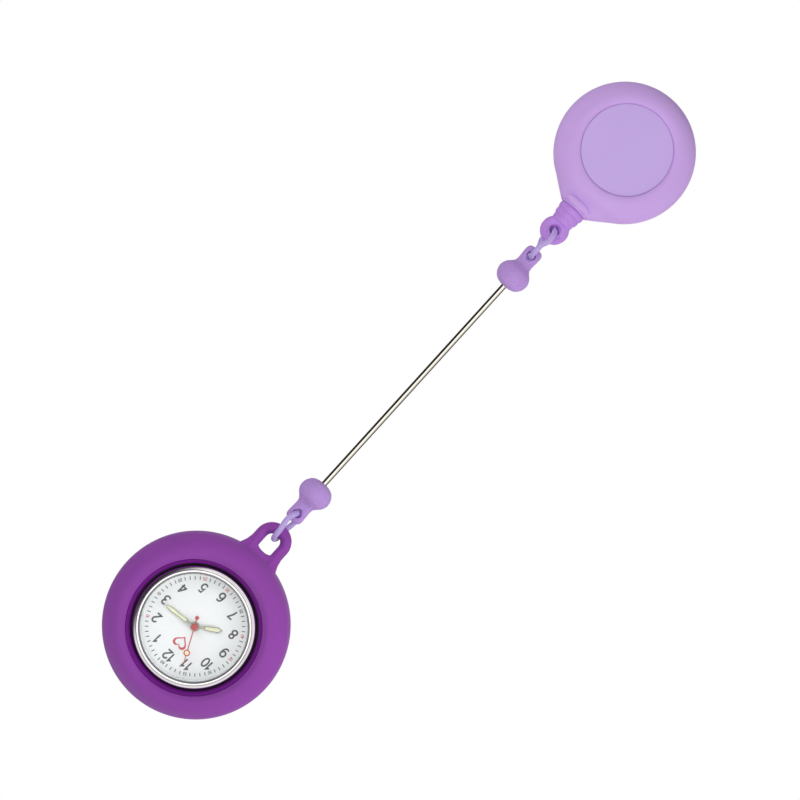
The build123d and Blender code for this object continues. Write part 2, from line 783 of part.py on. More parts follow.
with BuildPart() as main_plate:
    ring(9.8, 0, 0.8, 1.3, 0, WATCH_Z)
    ring(9.8, 9.2, -0.9, 0.8, 0, WATCH_Z)
    for point in PILLARS:
        ring(0.6, 0, -0.9, 0.8, *at_watch(point))
        ring(0.3, 0, -0.9, 0.5, *at_watch(point), mode=Mode.SUBTRACT)
    ring(0.25, 0, 1.3, 2.1, *at_watch(MINUTE_WHEEL))
    ring(0.5, 0, 0.8, 1.3, 0, WATCH_Z, mode=Mode.SUBTRACT)
    for point in (THIRD, FIFTH, ROTOR):
        ring(0.16, 0, 0.8, 1.1, *at_watch(point), mode=Mode.SUBTRACT)
    with BuildSketch(Plane.YZ.offset(-8)):
        with Locations((-CHAIN - CROWN_DEPTH, WATCH_Z)):
            Circle(0.55)
    extrude(amount=-3, mode=Mode.SUBTRACT)
main_plate.part.label = "main_plate"
export_step(main_plate.part, "parts/main_plate.step")

BRIDGE = [
    (-5.1, -3.8),
    (-5.3, -2.2),
    (-3.8, 0.9),
    (-2.3, 3.2),
    (-2.2, 7.4),
    (-1.0, 8.2),
    (2.6, 7.6),
    (6.2, 5.2),
    (7.6, 1.6),
    (7.0, 0.1),
    (4.4, 0.2),
    (1.0, -1.2),
    (0.1, -3.4),
    (0.0, -5.3),
    (-1.8, -5.5),
    (-3.0, -4.4),
]
with BuildPart() as train_bridge:
    slab(BRIDGE, -1.3, -0.9, 0, WATCH_Z)
    for point in PILLARS:
        ring(0.3, 0, -1.3, -0.9, *at_watch(point), mode=Mode.SUBTRACT)
    for point in ((0, 0), THIRD, FIFTH, ROTOR):
        ring(0.16, 0, -1.15, -0.9, *at_watch(point), mode=Mode.SUBTRACT)
train_bridge.part.label = "train_bridge"
export_step(train_bridge.part, "parts/train_bridge.step")

with BuildPart() as bridge_screws:
    for point in PILLARS:
        ring(0.55, 0, -1.6, -1.3, *at_watch(point))
        ring(0.28, 0, -1.3, 0.2, *at_watch(point))
        with BuildSketch(front(-1.6, *at_watch(point)[::-1])):
            Rectangle(1.2, 0.16)
        extrude(amount=0.12, mode=Mode.SUBTRACT)
bridge_screws.part.label = "bridge_screws"
export_step(bridge_screws.part, "parts/bridge_screws.step")

with BuildPart() as battery:
    turned(
        [(0, 0.35), (3.15, 0.35), (3.15, 0.15), (3.4, 0.05), (3.4, -1.65), (3.25, -1.8), (0, -1.8)],
        WATCH_Z + BATTERY[1],
        BATTERY[0],
    )
battery.part.label = "battery"
export_step(battery.part, "parts/battery.step")

with BuildPart() as battery_strap:
    slab([(7.3, 2.0), (6.0, 2.2), (2.9, -3.8), (4.1, -4.6)], -2.0, -1.82, 0, WATCH_Z)
    slab([(7.3, 2.0), (6.0, 2.2), (6.4, 1.7), (7.2, 1.6)], -1.82, -1.32, 0, WATCH_Z)
battery_strap.part.label = "battery_strap"
export_step(battery_strap.part, "parts/battery_strap.step")

BOARD = [
    (-8.7, 1.0),
    (-8.3, 3.2),
    (-7.0, 5.5),
    (-5.0, 7.2),
    (-2.9, 8.1),
    (-2.8, 5.2),
    (-2.9, 3.3),
    (-4.3, 1.2),
]
with BuildPart() as circuit_board:
    slab(BOARD, -1.2, -1.0, 0, WATCH_Z)
circuit_board.part.label = "circuit_board"
export_step(circuit_board.part, "parts/circuit_board.step")

with BuildPart() as ic_chip:
    turned([(0, -1.21), (0.95, -1.21), (0.8, -1.45), (0.5, -1.55), (0, -1.58)], WATCH_Z + 3.4, -6.2)
ic_chip.part.label = "ic_chip"
export_step(ic_chip.part, "parts/ic_chip.step")

with BuildPart() as quartz_can:
    can_middle = (-5.0, -CHAIN + 0.25, WATCH_Z + 4.6)
    with BuildSketch(Plane(origin=can_middle, z_dir=(0.677, 0, 0.736), x_dir=(0, -1, 0))):
        Circle(0.7)
    extrude(amount=2.9, both=True)
quartz_can.part.label = "quartz_can"
export_step(quartz_can.part, "parts/quartz_can.step")

COIL_PLANE = Plane(
    origin=(COIL[0], -CHAIN + 0.2, WATCH_Z + COIL[1]),
    z_dir=(COIL_DIR[0], 0, COIL_DIR[1]),
    x_dir=(0, -1, 0),
)
with BuildPart() as coil:
    with BuildSketch(COIL_PLANE):
        Circle(0.95)
    extrude(amount=2.6, both=True)
    with BuildSketch(COIL_PLANE):
        with Locations((0.2, 0)):
            Rectangle(0.34, 0.94)
    extrude(amount=3, both=True, mode=Mode.SUBTRACT)
coil.part.label = "coil"
export_step(coil.part, "parts/coil.step")

with BuildPart() as coil_core:
    with BuildSketch(COIL_PLANE):
        with Locations((0.2, 0)):
            Rectangle(0.28, 0.9)
    extrude(amount=3.6, both=True)
coil_core.part.label = "coil_core"
export_step(coil_core.part, "parts/coil_core.step")

STATOR = [
    (-8.2, -1.9),
    (-7.4, -1.45),
    (-4.3, -1.45),
    (-2.75, -2.3),
    (-2.6, -3.5),
    (-2.9, -7.0),
    (-3.6, -7.8),
    (-4.3, -7.1),
    (-4.6, -4.4),
    (-5.3, -3.5),
    (-7.7, -2.9),
]
with BuildPart() as stator:
    slab(STATOR, 0.16, 0.45, 0, WATCH_Z)
    ring(0.8, 0, 0.16, 0.45, *at_watch(ROTOR), mode=Mode.SUBTRACT)
    with BuildSketch(COIL_PLANE):
        Circle(1.0)
    extrude(amount=2.65, both=True, mode=Mode.SUBTRACT)
stator.part.label = "stator"
export_step(stator.part, "parts/stator.step")

# ---------------------------------------------------------------- going train, from rotor to hour wheel
with BuildPart() as rotor:
    ring(0.12, 0, -1.1, 1.05, *at_watch(ROTOR))
    gear(6, 0.12, between(ROTOR, FIFTH), -0.6, -0.3, *at_watch(ROTOR))
    ring(0.62, 0, 0.1, 0.5, *at_watch(ROTOR))
rotor.part.label = "rotor"
export_step(rotor.part, "parts/rotor.step")

with BuildPart() as fifth_wheel:
    ring(0.12, 0, -1.1, 1.05, *at_watch(FIFTH))
    gear(36, 0.12, between(FIFTH, ROTOR) + 5, -0.55, -0.35, *at_watch(FIFTH))
    gear(6, 0.14, between(FIFTH, (0, 0)), -0.35, 0.08, *at_watch(FIFTH))
fifth_wheel.part.label = "fifth_wheel"
export_step(fifth_wheel.part, "parts/fifth_wheel.step")

with BuildPart() as fourth_wheel:
    ring(0.12, 0, -1.1, 4.0, 0, WATCH_Z)
    gear(30, 0.14, bearing(FIFTH) + 6, -0.15, 0.05, 0, WATCH_Z)
    gear(8, 0.12, bearing(THIRD), 0.05, 0.45, 0, WATCH_Z)
fourth_wheel.part.label = "fourth_wheel"
export_step(fourth_wheel.part, "parts/fourth_wheel.step")

with BuildPart() as third_wheel:
    ring(0.12, 0, -1.1, 1.05, *at_watch(THIRD))
    gear(60, 0.12, between(THIRD, (0, 0)) + 3, 0.2, 0.4, *at_watch(THIRD))
    gear(8, 0.11333, between(THIRD, (0, 0)), 0.4, 0.78, *at_watch(THIRD))
third_wheel.part.label = "third_wheel"
export_step(third_wheel.part, "parts/third_wheel.step")

with BuildPart() as centre_wheel:
    gear(64, 0.11333, bearing(THIRD) + 180 / 64, 0.55, 0.75, 0, WATCH_Z)
    ring(0.45, 0, 0.55, 3.6, 0, WATCH_Z)
    gear(10, 0.12, bearing(MINUTE_WHEEL), 1.4, 1.62, 0, WATCH_Z)
    ring(0.22, 0, 0.5, 3.7, 0, WATCH_Z, mode=Mode.SUBTRACT)
centre_wheel.part.label = "centre_wheel"
export_step(centre_wheel.part, "parts/centre_wheel.step")

with BuildPart() as minute_wheel:
    gear(30, 0.12, between(MINUTE_WHEEL, (0, 0)) + 6, 1.4, 1.6, *at_watch(MINUTE_WHEEL))
    gear(8, 0.12, between(MINUTE_WHEEL, (0, 0)), 1.6, 2.05, *at_watch(MINUTE_WHEEL))
    ring(0.3, 0, 1.4, 2.05, *at_watch(MINUTE_WHEEL), mode=Mode.SUBTRACT)
minute_wheel.part.label = "minute_wheel"
export_step(minute_wheel.part, "parts/minute_wheel.step")

with BuildPart() as hour_wheel:
    gear(32, 0.12, bearing(MINUTE_WHEEL) + 180 / 32, 1.75, 2.0, 0, WATCH_Z)
    ring(0.75, 0, 1.75, 3.15, 0, WATCH_Z)
    ring(0.5, 0, 1.75, 3.2, 0, WATCH_Z, mode=Mode.SUBTRACT)
hour_wheel.part.label = "hour_wheel"
export_step(hour_wheel.part, "parts/hour_wheel.step")

# ---------------------------------------------------------------- hands
HOUR_SLOT = [(2.45, -0.32), (5.3, -0.42), (5.9, -0.18), (5.9, 0.18), (5.3, 0.42), (2.45, 0.32)]
MINUTE_SLOT = [(2.4, -0.27), (6.9, -0.34), (7.9, -0.14), (7.9, 0.14), (6.9, 0.34), (2.4, 0.27)]

with BuildPart() as hour_hand:
    bar_hand(
        [
            (0, -0.28),
            (1.9, -0.28),
            (2.2, -0.52),
            (5.35, -0.68),
            (6.5, 0),
            (5.35, 0.68),
            (2.2, 0.52),
            (1.9, 0.28),
            (0, 0.28),
        ],
        HOUR_SLOT,
        3.0,
        0.15,
        HOUR_ANGLE,
        1.15,
        0.755,
    )
hour_hand.part.label = "hour_hand"
export_step(hour_hand.part, "parts/hour_hand.step")

with BuildPart() as hour_hand_lume:
    filling([(x - 0.01 if x > 4 else x + 0.01, y * 0.97) for x, y in HOUR_SLOT], 3.02, 0.11, HOUR_ANGLE)
hour_hand_lume.part.label = "hour_hand_lume"
export_step(hour_hand_lume.part, "parts/hour_hand_lume.step")

with BuildPart() as minute_hand:
    bar_hand(
        [
            (0, -0.24),
            (1.9, -0.24),
            (2.2, -0.45),
            (6.95, -0.56),
            (8.5, 0),
            (6.95, 0.56),
            (2.2, 0.45),
            (1.9, 0.24),
            (0, 0.24),
        ],
        MINUTE_SLOT,
        3.45,
        0.15,
        MINUTE_ANGLE,
        0.85,
        0.455,
    )
minute_hand.part.label = "minute_hand"
export_step(minute_hand.part, "parts/minute_hand.step")

with BuildPart() as minute_hand_lume:
    filling([(x - 0.01 if x > 4 else x + 0.01, y * 0.97) for x, y in MINUTE_SLOT], 3.47, 0.11, MINUTE_ANGLE)
minute_hand_lume.part.label = "minute_hand_lume"
export_step(minute_hand_lume.part, "parts/minute_hand_lume.step")

with BuildPart() as second_hand:
    with BuildSketch(hand_plane(3.9, SECOND_ANGLE)):
        with BuildLine():
            Polyline((-2.2, -0.13), (8.9, -0.07), (8.9, 0.07), (-2.2, 0.13), close=True)
        make_face()
        Circle(0.9)
        with Locations((-2.2, 0)):
            Circle(0.48)
        with Locations((6.2, 0)):
            Circle(0.75)
            Circle(0.52, mode=Mode.SUBTRACT)
    extrude(amount=0.1)
    ring(0.6, 0, 4.0, 4.2, 0, WATCH_Z)
    ring(0.125, 0, 3.9, 4.05, 0, WATCH_Z, mode=Mode.SUBTRACT)
second_hand.part.label = "second_hand"
export_step(second_hand.part, "parts/second_hand.step")

with BuildPart() as second_hand_lume:
    with BuildSketch(hand_plane(3.91, SECOND_ANGLE)):
        with Locations((6.2, 0)):
            Circle(0.5)
    extrude(amount=0.08)
second_hand_lume.part.label = "second_hand_lume"
export_step(second_hand_lume.part, "parts/second_hand_lume.step")

# ---------------------------------------------------------------- winding stem and crown
STEM_AXIS = Axis((0, -CHAIN - CROWN_DEPTH, WATCH_Z), (1, 0, 0))


def along_stem(outline):
    """Turn an outline of (x, radius) points about the winding stem's axis."""
    with BuildSketch(Plane.XZ.offset(CHAIN + CROWN_DEPTH)) as section:
        with BuildLine():
            Polyline(*[(x, WATCH_Z + radius) for x, radius in outline], close=True)
        make_face()
    revolve(section.sketch, axis=STEM_AXIS)


with BuildPart() as setting_lever:
    slab([(-7.05, -1.2), (-6.85, -1.2), (-6.85, 1.2), (-7.05, 1.2)], -0.95, 0.5, 0, WATCH_Z)
    with BuildSketch(Plane.YZ.offset(-8)):
        with Locations((-CHAIN - CROWN_DEPTH, WATCH_Z)):
            Circle(0.3)
    extrude(amount=3, mode=Mode.SUBTRACT)
    with BuildSketch(Plane.YZ.offset(-8)):
        with Locations((-CHAIN - CROWN_DEPTH - 0.5, WATCH_Z)):
            Rectangle(1.0, 0.6)
    extrude(amount=3, mode=Mode.SUBTRACT)
setting_lever.part.label = "setting_lever"
export_step(setting_lever.part, "parts/setting_lever.step")

with BuildPart() as winding_stem:
    along_stem(
        [
            (-6.0, 0),
            (-6.0, 0.3),
            (-6.2, 0.45),
            (-6.8, 0.45),
            (-6.8, 0.26),
            (-7.1, 0.26),
            (-7.1, 0.45),
            (-17.6, 0.45),
            (-17.6, 0),
        ]
    )
winding_stem.part.label = "winding_stem"
export_step(winding_stem.part, "parts/winding_stem.step")

with BuildPart() as crown:
    with BuildSketch(Plane.YZ.offset(-16.0)):
        with Locations((-CHAIN - CROWN_DEPTH, WATCH_Z)):
            Circle(1.9)
            with PolarLocations(1.95, 24):
                Circle(0.11, mode=Mode.SUBTRACT)
    extrude(amount=-2.1)
    with BuildSketch(Plane.YZ.offset(-16.0)):
        with Locations((-CHAIN - CROWN_DEPTH, WATCH_Z)):
            Circle(1.3)
    extrude(amount=-1.2, mode=Mode.SUBTRACT)
    with BuildSketch(Plane.YZ.offset(-16.0)):
        with Locations((-CHAIN - CROWN_DEPTH, WATCH_Z)):
            Circle(0.46)
    extrude(amount=-1.65, mode=Mode.SUBTRACT)
crown.part.label = "crown"
export_step(crown.part, "parts/crown.step")

with BuildPart() as crown_gasket:
    along_stem([(-16.2, 1.05), (-16.2, 1.28), (-16.7, 1.28), (-16.7, 1.05)])
crown_gasket.part.label = "crown_gasket"
export_step(crown_gasket.part, "parts/crown_gasket.step")
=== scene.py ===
"""Looks of the nurse's fob watch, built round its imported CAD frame.

Shapes are made in millimetres and scaled to metres as they are put on their bodies. "Depth" is the distance
in front of the chain's middle plane, towards -Y.
"""

import math

import bmesh
import bpy
from mathutils import Matrix, Vector


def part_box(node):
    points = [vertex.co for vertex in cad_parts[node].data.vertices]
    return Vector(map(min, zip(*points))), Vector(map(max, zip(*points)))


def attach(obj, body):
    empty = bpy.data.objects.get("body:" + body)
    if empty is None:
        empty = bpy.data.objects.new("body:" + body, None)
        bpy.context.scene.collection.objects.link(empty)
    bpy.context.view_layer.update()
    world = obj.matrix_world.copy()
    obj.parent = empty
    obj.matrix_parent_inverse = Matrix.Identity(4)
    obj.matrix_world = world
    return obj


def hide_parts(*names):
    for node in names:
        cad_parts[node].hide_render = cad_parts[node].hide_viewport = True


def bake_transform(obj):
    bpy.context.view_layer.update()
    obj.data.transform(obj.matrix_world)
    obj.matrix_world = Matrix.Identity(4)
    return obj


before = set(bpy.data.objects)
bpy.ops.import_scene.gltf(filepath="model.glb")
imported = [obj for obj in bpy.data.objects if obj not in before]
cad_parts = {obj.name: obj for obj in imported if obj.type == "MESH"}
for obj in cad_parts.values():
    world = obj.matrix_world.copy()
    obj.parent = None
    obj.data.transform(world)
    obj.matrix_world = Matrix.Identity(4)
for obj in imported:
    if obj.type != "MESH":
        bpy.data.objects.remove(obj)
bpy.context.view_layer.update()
scene = bpy.context.scene

MM = 0.001
TAU = 2 * math.pi
NEAR_ZERO = 1e-6


def span(node):
    """Lowest and highest corner of a CAD node, in millimetres."""
    low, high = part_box(node)
    return low / MM, high / MM


def centre(node):
    """Middle of a CAD node, in millimetres."""
    low, high = span(node)
    return (low + high) / 2


CHAIN = -centre("rod").y
WATCH_Z = centre("dial").z
TOWARD_VIEWER = Vector((0, -1, 0))


# ---------------------------------------------------------------- camera
def aim_camera():
    """Camera square to the dial, rolled so that the chain hangs towards the lower left."""
    data = bpy.data.cameras.new("camera")
    data.lens = 85
    data.sensor_width = 36
    data.clip_start = 0.01
    data.clip_end = 10
    camera = bpy.data.objects.new("camera", data)
    scene.collection.objects.link(camera)
    right = Vector((0.7406, 0, 0.672))
    up = Vector((-0.672, 0, 0.7406))
    target = Vector((-0.00008, -CHAIN * MM, -0.07797))
    distance = 0.441
    turn = Matrix((right, up, TOWARD_VIEWER)).transposed().to_4x4()
    camera.matrix_world = Matrix.Translation(target + TOWARD_VIEWER * distance) @ turn
    scene.camera = camera
    return right, up


IMAGE_RIGHT, IMAGE_UP = aim_camera()


# ---------------------------------------------------------------- materials
def linear(*rgb):
    """Linear colour of an sRGB colour given in 0 to 255."""
    share = [c / 255 for c in rgb]
    return tuple(c / 12.92 if c <= 0.04045 else ((c + 0.055) / 1.055) ** 2.4 for c in share) + (1.0,)


def shaded(colour, factor):
    """Opaque colour, made lighter or darker by a factor."""
    return tuple(min(1.0, c * factor) for c in colour[:3]) + (1.0,)


def finish_of(name, colour, rough, rough_spread=0.08, metal=0.0, tone=0.05, patch=120.0, grain=5000.0, relief=0.01,
              strength=0.15, stretch=(1.0, 1.0, 1.0), coat=0.0, sheen=0.0, scatter=0.0, specular=0.5):
    """Procedural finish: patches of lighter and darker tone, uneven gloss and a fine relief in millimetres."""
    material = bpy.data.materials.new(name)
    material.use_nodes = True
    nodes = material.node_tree.nodes
    links = material.node_tree.links
    shader = nodes["Principled BSDF"]
    settings = {"Metallic": metal, "Coat Weight": coat, "Coat Roughness": 0.25, "Sheen Weight": sheen,
                "Sheen Roughness": 0.4, "Specular IOR Level": specular}
    if scatter > 0:
        settings.update({"Subsurface Weight": scatter, "Subsurface Radius": (1.0, 0.6, 1.0),
                         "Subsurface Scale": 0.0008})
    for socket, value in settings.items():
        shader.inputs[socket].default_value = value
    place = nodes.new("ShaderNodeTexCoord")
    scaled = nodes.new("ShaderNodeMapping")
    scaled.inputs["Scale"].default_value = stretch
    links.new(place.outputs["Object"], scaled.inputs["Vector"])
    broad = nodes.new("ShaderNodeTexNoise")
    fine = nodes.new("ShaderNodeTexNoise")
    for noise, scale, detail in ((broad, patch, 3.0), (fine, grain, 4.0)):
        noise.inputs["Scale"].default_value = scale
        noise.inputs["Detail"].default_value = detail
        links.new(scaled.outputs["Vector"], noise.inputs["Vector"])
    ramp = nodes.new("ShaderNodeValToRGB")
    low, high = 0.3, 0.7  # where a noise's values mostly lie
    for element, position, factor in zip(ramp.color_ramp.elements, (low, high), (1 - tone, 1 + tone)):
        element.position = position
        element.color = shaded(colour, factor)
    links.new(broad.outputs["Fac"], ramp.inputs["Fac"])
    links.new(ramp.outputs["Color"], shader.inputs["Base Color"])
    gloss = nodes.new("ShaderNodeMapRange")
    smooth, dull = max(0.02, rough - rough_spread), min(1.0, rough + rough_spread)
    for socket, value in (("From Min", low), ("From Max", high), ("To Min", smooth), ("To Max", dull)):
        gloss.inputs[socket].default_value = value
    links.new(fine.outputs["Fac"], gloss.inputs["Value"])
    links.new(gloss.outputs["Result"], shader.inputs["Roughness"])
    bump = nodes.new("ShaderNodeBump")
    bump.inputs["Strength"].default_value = strength
    bump.inputs["Distance"].default_value = relief * MM
    links.new(fine.outputs["Fac"], bump.inputs["Height"])
    links.new(bump.outputs["Normal"], shader.inputs["Normal"])
    return material


def clear_glass(name):
    """Clear glass that lets lamplight straight through to the dial."""
    material = finish_of(name, (1, 1, 1, 1), 0.03, 0.01, tone=0.0, patch=60, grain=900, relief=0.002, strength=0.03)
    nodes = material.node_tree.nodes
    links = material.node_tree.links
    shader = nodes["Principled BSDF"]
    shader.inputs["Transmission Weight"].default_value = 1.0
    shader.inputs["IOR"].default_value = 1.45
    through = nodes.new("ShaderNodeBsdfTransparent")
    path = nodes.new("ShaderNodeLightPath")
    mix = nodes.new("ShaderNodeMixShader")
    links.new(path.outputs["Is Shadow Ray"], mix.inputs["Fac"])
    links.new(shader.outputs["BSDF"], mix.inputs[1])
    links.new(through.outputs["BSDF"], mix.inputs[2])
    links.new(mix.outputs["Shader"], nodes["Material Output"].inputs["Surface"])
    return material


LILAC = finish_of("lilac_plastic", linear(208, 170, 236), 0.55, tone=0.02, patch=45, grain=6000, relief=0.012,
                  scatter=0.15)
INLAY = finish_of("inlay_plastic", linear(204, 175, 237), 0.5, tone=0.015, patch=50, grain=5000, relief=0.008,
                  scatter=0.1)
PLUG = finish_of("plug_plastic", linear(194, 142, 228), 0.48, tone=0.03, patch=160, grain=6000, relief=0.01,
                 scatter=0.2)
BALL = finish_of("ball_plastic", linear(188, 150, 220), 0.55, tone=0.03, patch=90, grain=6000, relief=0.012,
                 scatter=0.2)
LINK = finish_of("link_plastic", linear(192, 170, 228), 0.4, tone=0.04, patch=180, grain=5000, relief=0.008,
                 scatter=0.25)
SILICONE = finish_of("jacket_silicone", linear(148, 68, 170), 0.6, tone=0.04, patch=60, grain=7000, relief=0.014,
                     strength=0.25, sheen=0.12, scatter=0.1, specular=0.4)
# Darker copy of the jacket's silicone: painted shade for the shaded inner wall of the jacket's lip.
LIP_SHADE_SILICONE = finish_of("lip_painted_shade", linear(112, 24, 134), 0.6, tone=0.05, specular=0.2, patch=80, grain=7000, relief=0.01)
STEEL = finish_of("bright_steel", (0.82, 0.81, 0.79, 1), 0.16, 0.04, metal=1, tone=0.03, patch=300, grain=2500,
                  relief=0.002, strength=0.08)
ROD_STEEL = finish_of("rod_steel", (0.82, 0.78, 0.68, 1), 0.12, 0.04, metal=1, tone=0.04, patch=160, grain=2500,
                      relief=0.002, strength=0.08, stretch=(1.0, 1.0, 0.2))
BRUSHED = finish_of("brushed_steel", (0.7, 0.69, 0.68, 1), 0.3, 0.06, metal=1, tone=0.04, patch=300, grain=2200,
                    relief=0.002, strength=0.1, stretch=(1.0, 1.0, 10.0))
CLIP_STEEL = finish_of("clip_steel", (0.72, 0.71, 0.69, 1), 0.3, 0.04, metal=1, tone=0.03, patch=160, grain=2600,
                       relief=0.001, strength=0.05, stretch=(1.0, 1.0, 9.0))
SPRING_STEEL = finish_of("spring_steel", (0.55, 0.54, 0.52, 1), 0.3, 0.08, metal=1, tone=0.08, patch=400,
                         grain=3000, relief=0.003)
HAND_STEEL = finish_of("hand_steel", (0.3, 0.31, 0.25, 1), 0.3, 0.06, metal=1, tone=0.05, patch=900, grain=6000,
                       relief=0.002, strength=0.1)
DIAL_WHITE = finish_of("dial_enamel", linear(229, 232, 233), 0.45, 0.05, tone=0.01, patch=200, grain=6000,
                       relief=0.003, strength=0.1)
REHAUT = finish_of("dial_ring_paint", (0.8, 0.81, 0.82, 1), 0.22, 0.05, metal=0.7, tone=0.03, patch=300,
                   grain=3000, relief=0.002, strength=0.1)
LUME = finish_of("lume", linear(219, 222, 186), 0.7, tone=0.06, patch=1200, grain=9000, relief=0.01, strength=0.3)
LUME_ORANGE = finish_of("lume_orange", linear(250, 216, 170), 0.7, tone=0.06, patch=1500, grain=9000, relief=0.01,
                        strength=0.3)
RED = finish_of("hand_red", linear(170, 22, 36), 0.5, tone=0.06, patch=900, grain=6000, relief=0.004)
PRINT_GREY = finish_of("print_grey", linear(48, 48, 50), 0.6, tone=0.08, patch=1500, grain=9000, relief=0.004)
PRINT_RED = finish_of("print_red", linear(190, 40, 62), 0.6, tone=0.08, patch=1500, grain=9000, relief=0.004)
BRASS = finish_of("gear_brass", (0.76, 0.58, 0.28, 1), 0.28, 0.08, metal=1, tone=0.08, patch=700, grain=5000,
                  relief=0.003)
PLATE = finish_of("plate_metal", (0.62, 0.61, 0.58, 1), 0.32, 0.1, metal=1, tone=0.06, patch=500, grain=1600,
                  relief=0.003, strength=0.2, stretch=(1.0, 1.0, 8.0))
NYLON = finish_of("crystal_seal", linear(150, 152, 156), 0.4, tone=0.05, patch=500, grain=5000, relief=0.004)
# Black rubber of the real gaskets, also used for the painted shadow ring in the gap round the bezel.
RUBBER_AND_GAP_SHADE = finish_of("gasket_rubber", linear(22, 18, 24), 0.7, tone=0.12, patch=500, grain=5000, relief=0.01)
COPPER = finish_of("copper_coil", (0.72, 0.33, 0.18, 1), 0.35, 0.1, metal=1, tone=0.12, patch=1200, grain=2600,
                   relief=0.02, strength=0.5, stretch=(6.0, 1.0, 1.0))
BOARD = finish_of("board_green", linear(40, 110, 70), 0.45, tone=0.12, patch=900, grain=3000, relief=0.01, coat=0.4)
CHIP = finish_of("chip_black", linear(30, 30, 32), 0.5, tone=0.15, patch=900, grain=5000, relief=0.006)
INNER = finish_of("inner_plastic", linear(214, 210, 218), 0.5, tone=0.03, patch=150, grain=4000, relief=0.01)
CORD = finish_of("cord_fibre", linear(206, 192, 224), 0.75, tone=0.1, patch=1800, grain=2600, relief=0.05,
                 strength=0.7, stretch=(1.0, 1.0, 0.5))
GLASS = clear_glass("crystal_glass")


# ---------------------------------------------------------------- mesh tools
def from_bmesh(name, bm):
    """Object made from a bmesh, which is freed."""
    mesh = bpy.data.meshes.new(name)
    bm.to_mesh(mesh)
    bm.free()
    obj = bpy.data.objects.new(name, mesh)
    scene.collection.objects.link(obj)
    return obj


def skin(name, rings, loop=False):
    """Closed mesh over rings of points. A ring of one point is a pole, and loop joins the last ring to the first."""
    bm = bmesh.new()
    rows = [[bm.verts.new(p) for p in ring] for ring in rings]
    pairs = list(zip(rows, rows[1:]))
    if loop:
        pairs.append((rows[-1], rows[0]))
    for a, b in pairs:
        count = max(len(a), len(b))
        if count == 1:
            continue
        for i in range(count):
            j = (i + 1) % count
            corners = [a[i % len(a)], a[j % len(a)], b[j % len(b)], b[i % len(b)]]
            bm.faces.new(list(dict.fromkeys(corners)))
    bmesh.ops.remove_doubles(bm, verts=bm.verts, dist=1e-4)
    bmesh.ops.recalc_face_normals(bm, faces=bm.faces)
    return from_bmesh(name, bm)


def capped(rings):
    """Rings with the middle of each end ring added as a pole."""
    first, last = (sum(ring, Vector()) / len(ring) for ring in (rings[0], rings[-1]))
    return [[first]] + rings + [[last]]


def soften(points, steps=5):
    """Round the corners of a closed outline. A point may carry a third number, how far back its corner is cut."""
    rounded = []
    for i, point in enumerate(points):
        here = Vector(point[:2])
        cut = point[2] if len(point) > 2 else 0
        if cut <= 0:
            rounded.append(here)
            continue
        ends = []
        for other in (points[i - 1], points[(i + 1) % len(points)]):
            way = Vector(other[:2]) - here
            ends.append(here + way.normalized() * min(cut, 0.48 * way.length))
        for k in range(steps + 1):
            t = k / steps
            rounded.append(ends[0] * (1 - t) ** 2 + here * 2 * t * (1 - t) + ends[1] * t * t)
    return rounded


def flowing(points, steps=8):
    """Smooth line through points of any dimension, by Catmull-Rom."""
    line = []
    for i in range(len(points) - 1):
        p1 = Vector(points[i])
        p2 = Vector(points[i + 1])
        p0 = Vector(points[i - 1]) if i > 0 else p1 * 2 - p2
        p3 = Vector(points[i + 2]) if i + 2 < len(points) else p2 * 2 - p1
        for k in range(steps):
            t = k / steps
            line.append(
                0.5 * (2 * p1 + (p2 - p0) * t + (2 * p0 - 5 * p1 + 4 * p2 - p3) * t * t
                       + (3 * p1 - p0 - 3 * p2 + p3) * t * t * t)
            )
    line.append(Vector(points[-1]))
    return line


def lathed(name, rings):
    """Closed mesh over rings: capped where both ends are poles, and joined end to end where they are not."""
    poles = len(rings[0]) == 1 and len(rings[-1]) == 1
    return skin(name, rings, loop=not poles)


def turned(name, outline, z=0.0, count=192):
    """Turn (radius, depth) points about the front-to-back axis at a height."""
    rings = []
    turns = [TAU * i / count for i in range(count)]
    for r, depth in outline:
        if r < NEAR_ZERO:
            rings.append([Vector((0, -(CHAIN + depth), z))])
            continue
        rings.append([Vector((r * math.cos(a), -(CHAIN + depth), z + r * math.sin(a))) for a in turns])
    return lathed(name, rings)


def hoop(r, height, count=96):
    """Level ring of points round the chain's vertical line, or its one point for no radius."""
    if r < NEAR_ZERO:
        return [Vector((0, -CHAIN, height))]
    return [Vector((r * math.cos(TAU * i / count), -CHAIN + r * math.sin(TAU * i / count), height))
            for i in range(count)]


def upright(name, outline, count=96):
    """Turn (radius, height) points about the chain's vertical line."""
    return lathed(name, [hoop(r, height, count) for r, height in outline])


def tube(name, path, section, side, loop=False):
    """Sweep a section along a path. Section points are (along side, across), and side is a fixed direction."""
    rings = []
    total = len(path)
    for i, point in enumerate(path):
        ahead = path[(i + 1) % total] if loop or i + 1 < total else point
        behind = path[i - 1] if loop or i > 0 else point
        forward = (ahead - behind).normalized()
        across = forward.cross(side).normalized()
        flat = across.cross(forward).normalized()
        rings.append([point + flat * a + across * b for a, b in section])
    if not loop:
        rings = [[path[0]]] + rings + [[path[-1]]]
    return skin(name, rings, loop)


def oval(half_a, half_b, count=32):
    """Section of a wire."""
    return [(half_a * math.cos(TAU * i / count), half_b * math.sin(TAU * i / count)) for i in range(count)]


def facing(depth, x=0.0, z=0.0, turn=0.0):
    """Matrix of a plane that faces the viewer, its own x axis turn degrees from +X towards +Z."""
    c = math.cos(math.radians(turn))
    s = math.sin(math.radians(turn))
    return Matrix(((c, -s, 0, x), (0, 0, -1, -(CHAIN + depth)), (s, c, 0, z), (0, 0, 0, 1)))


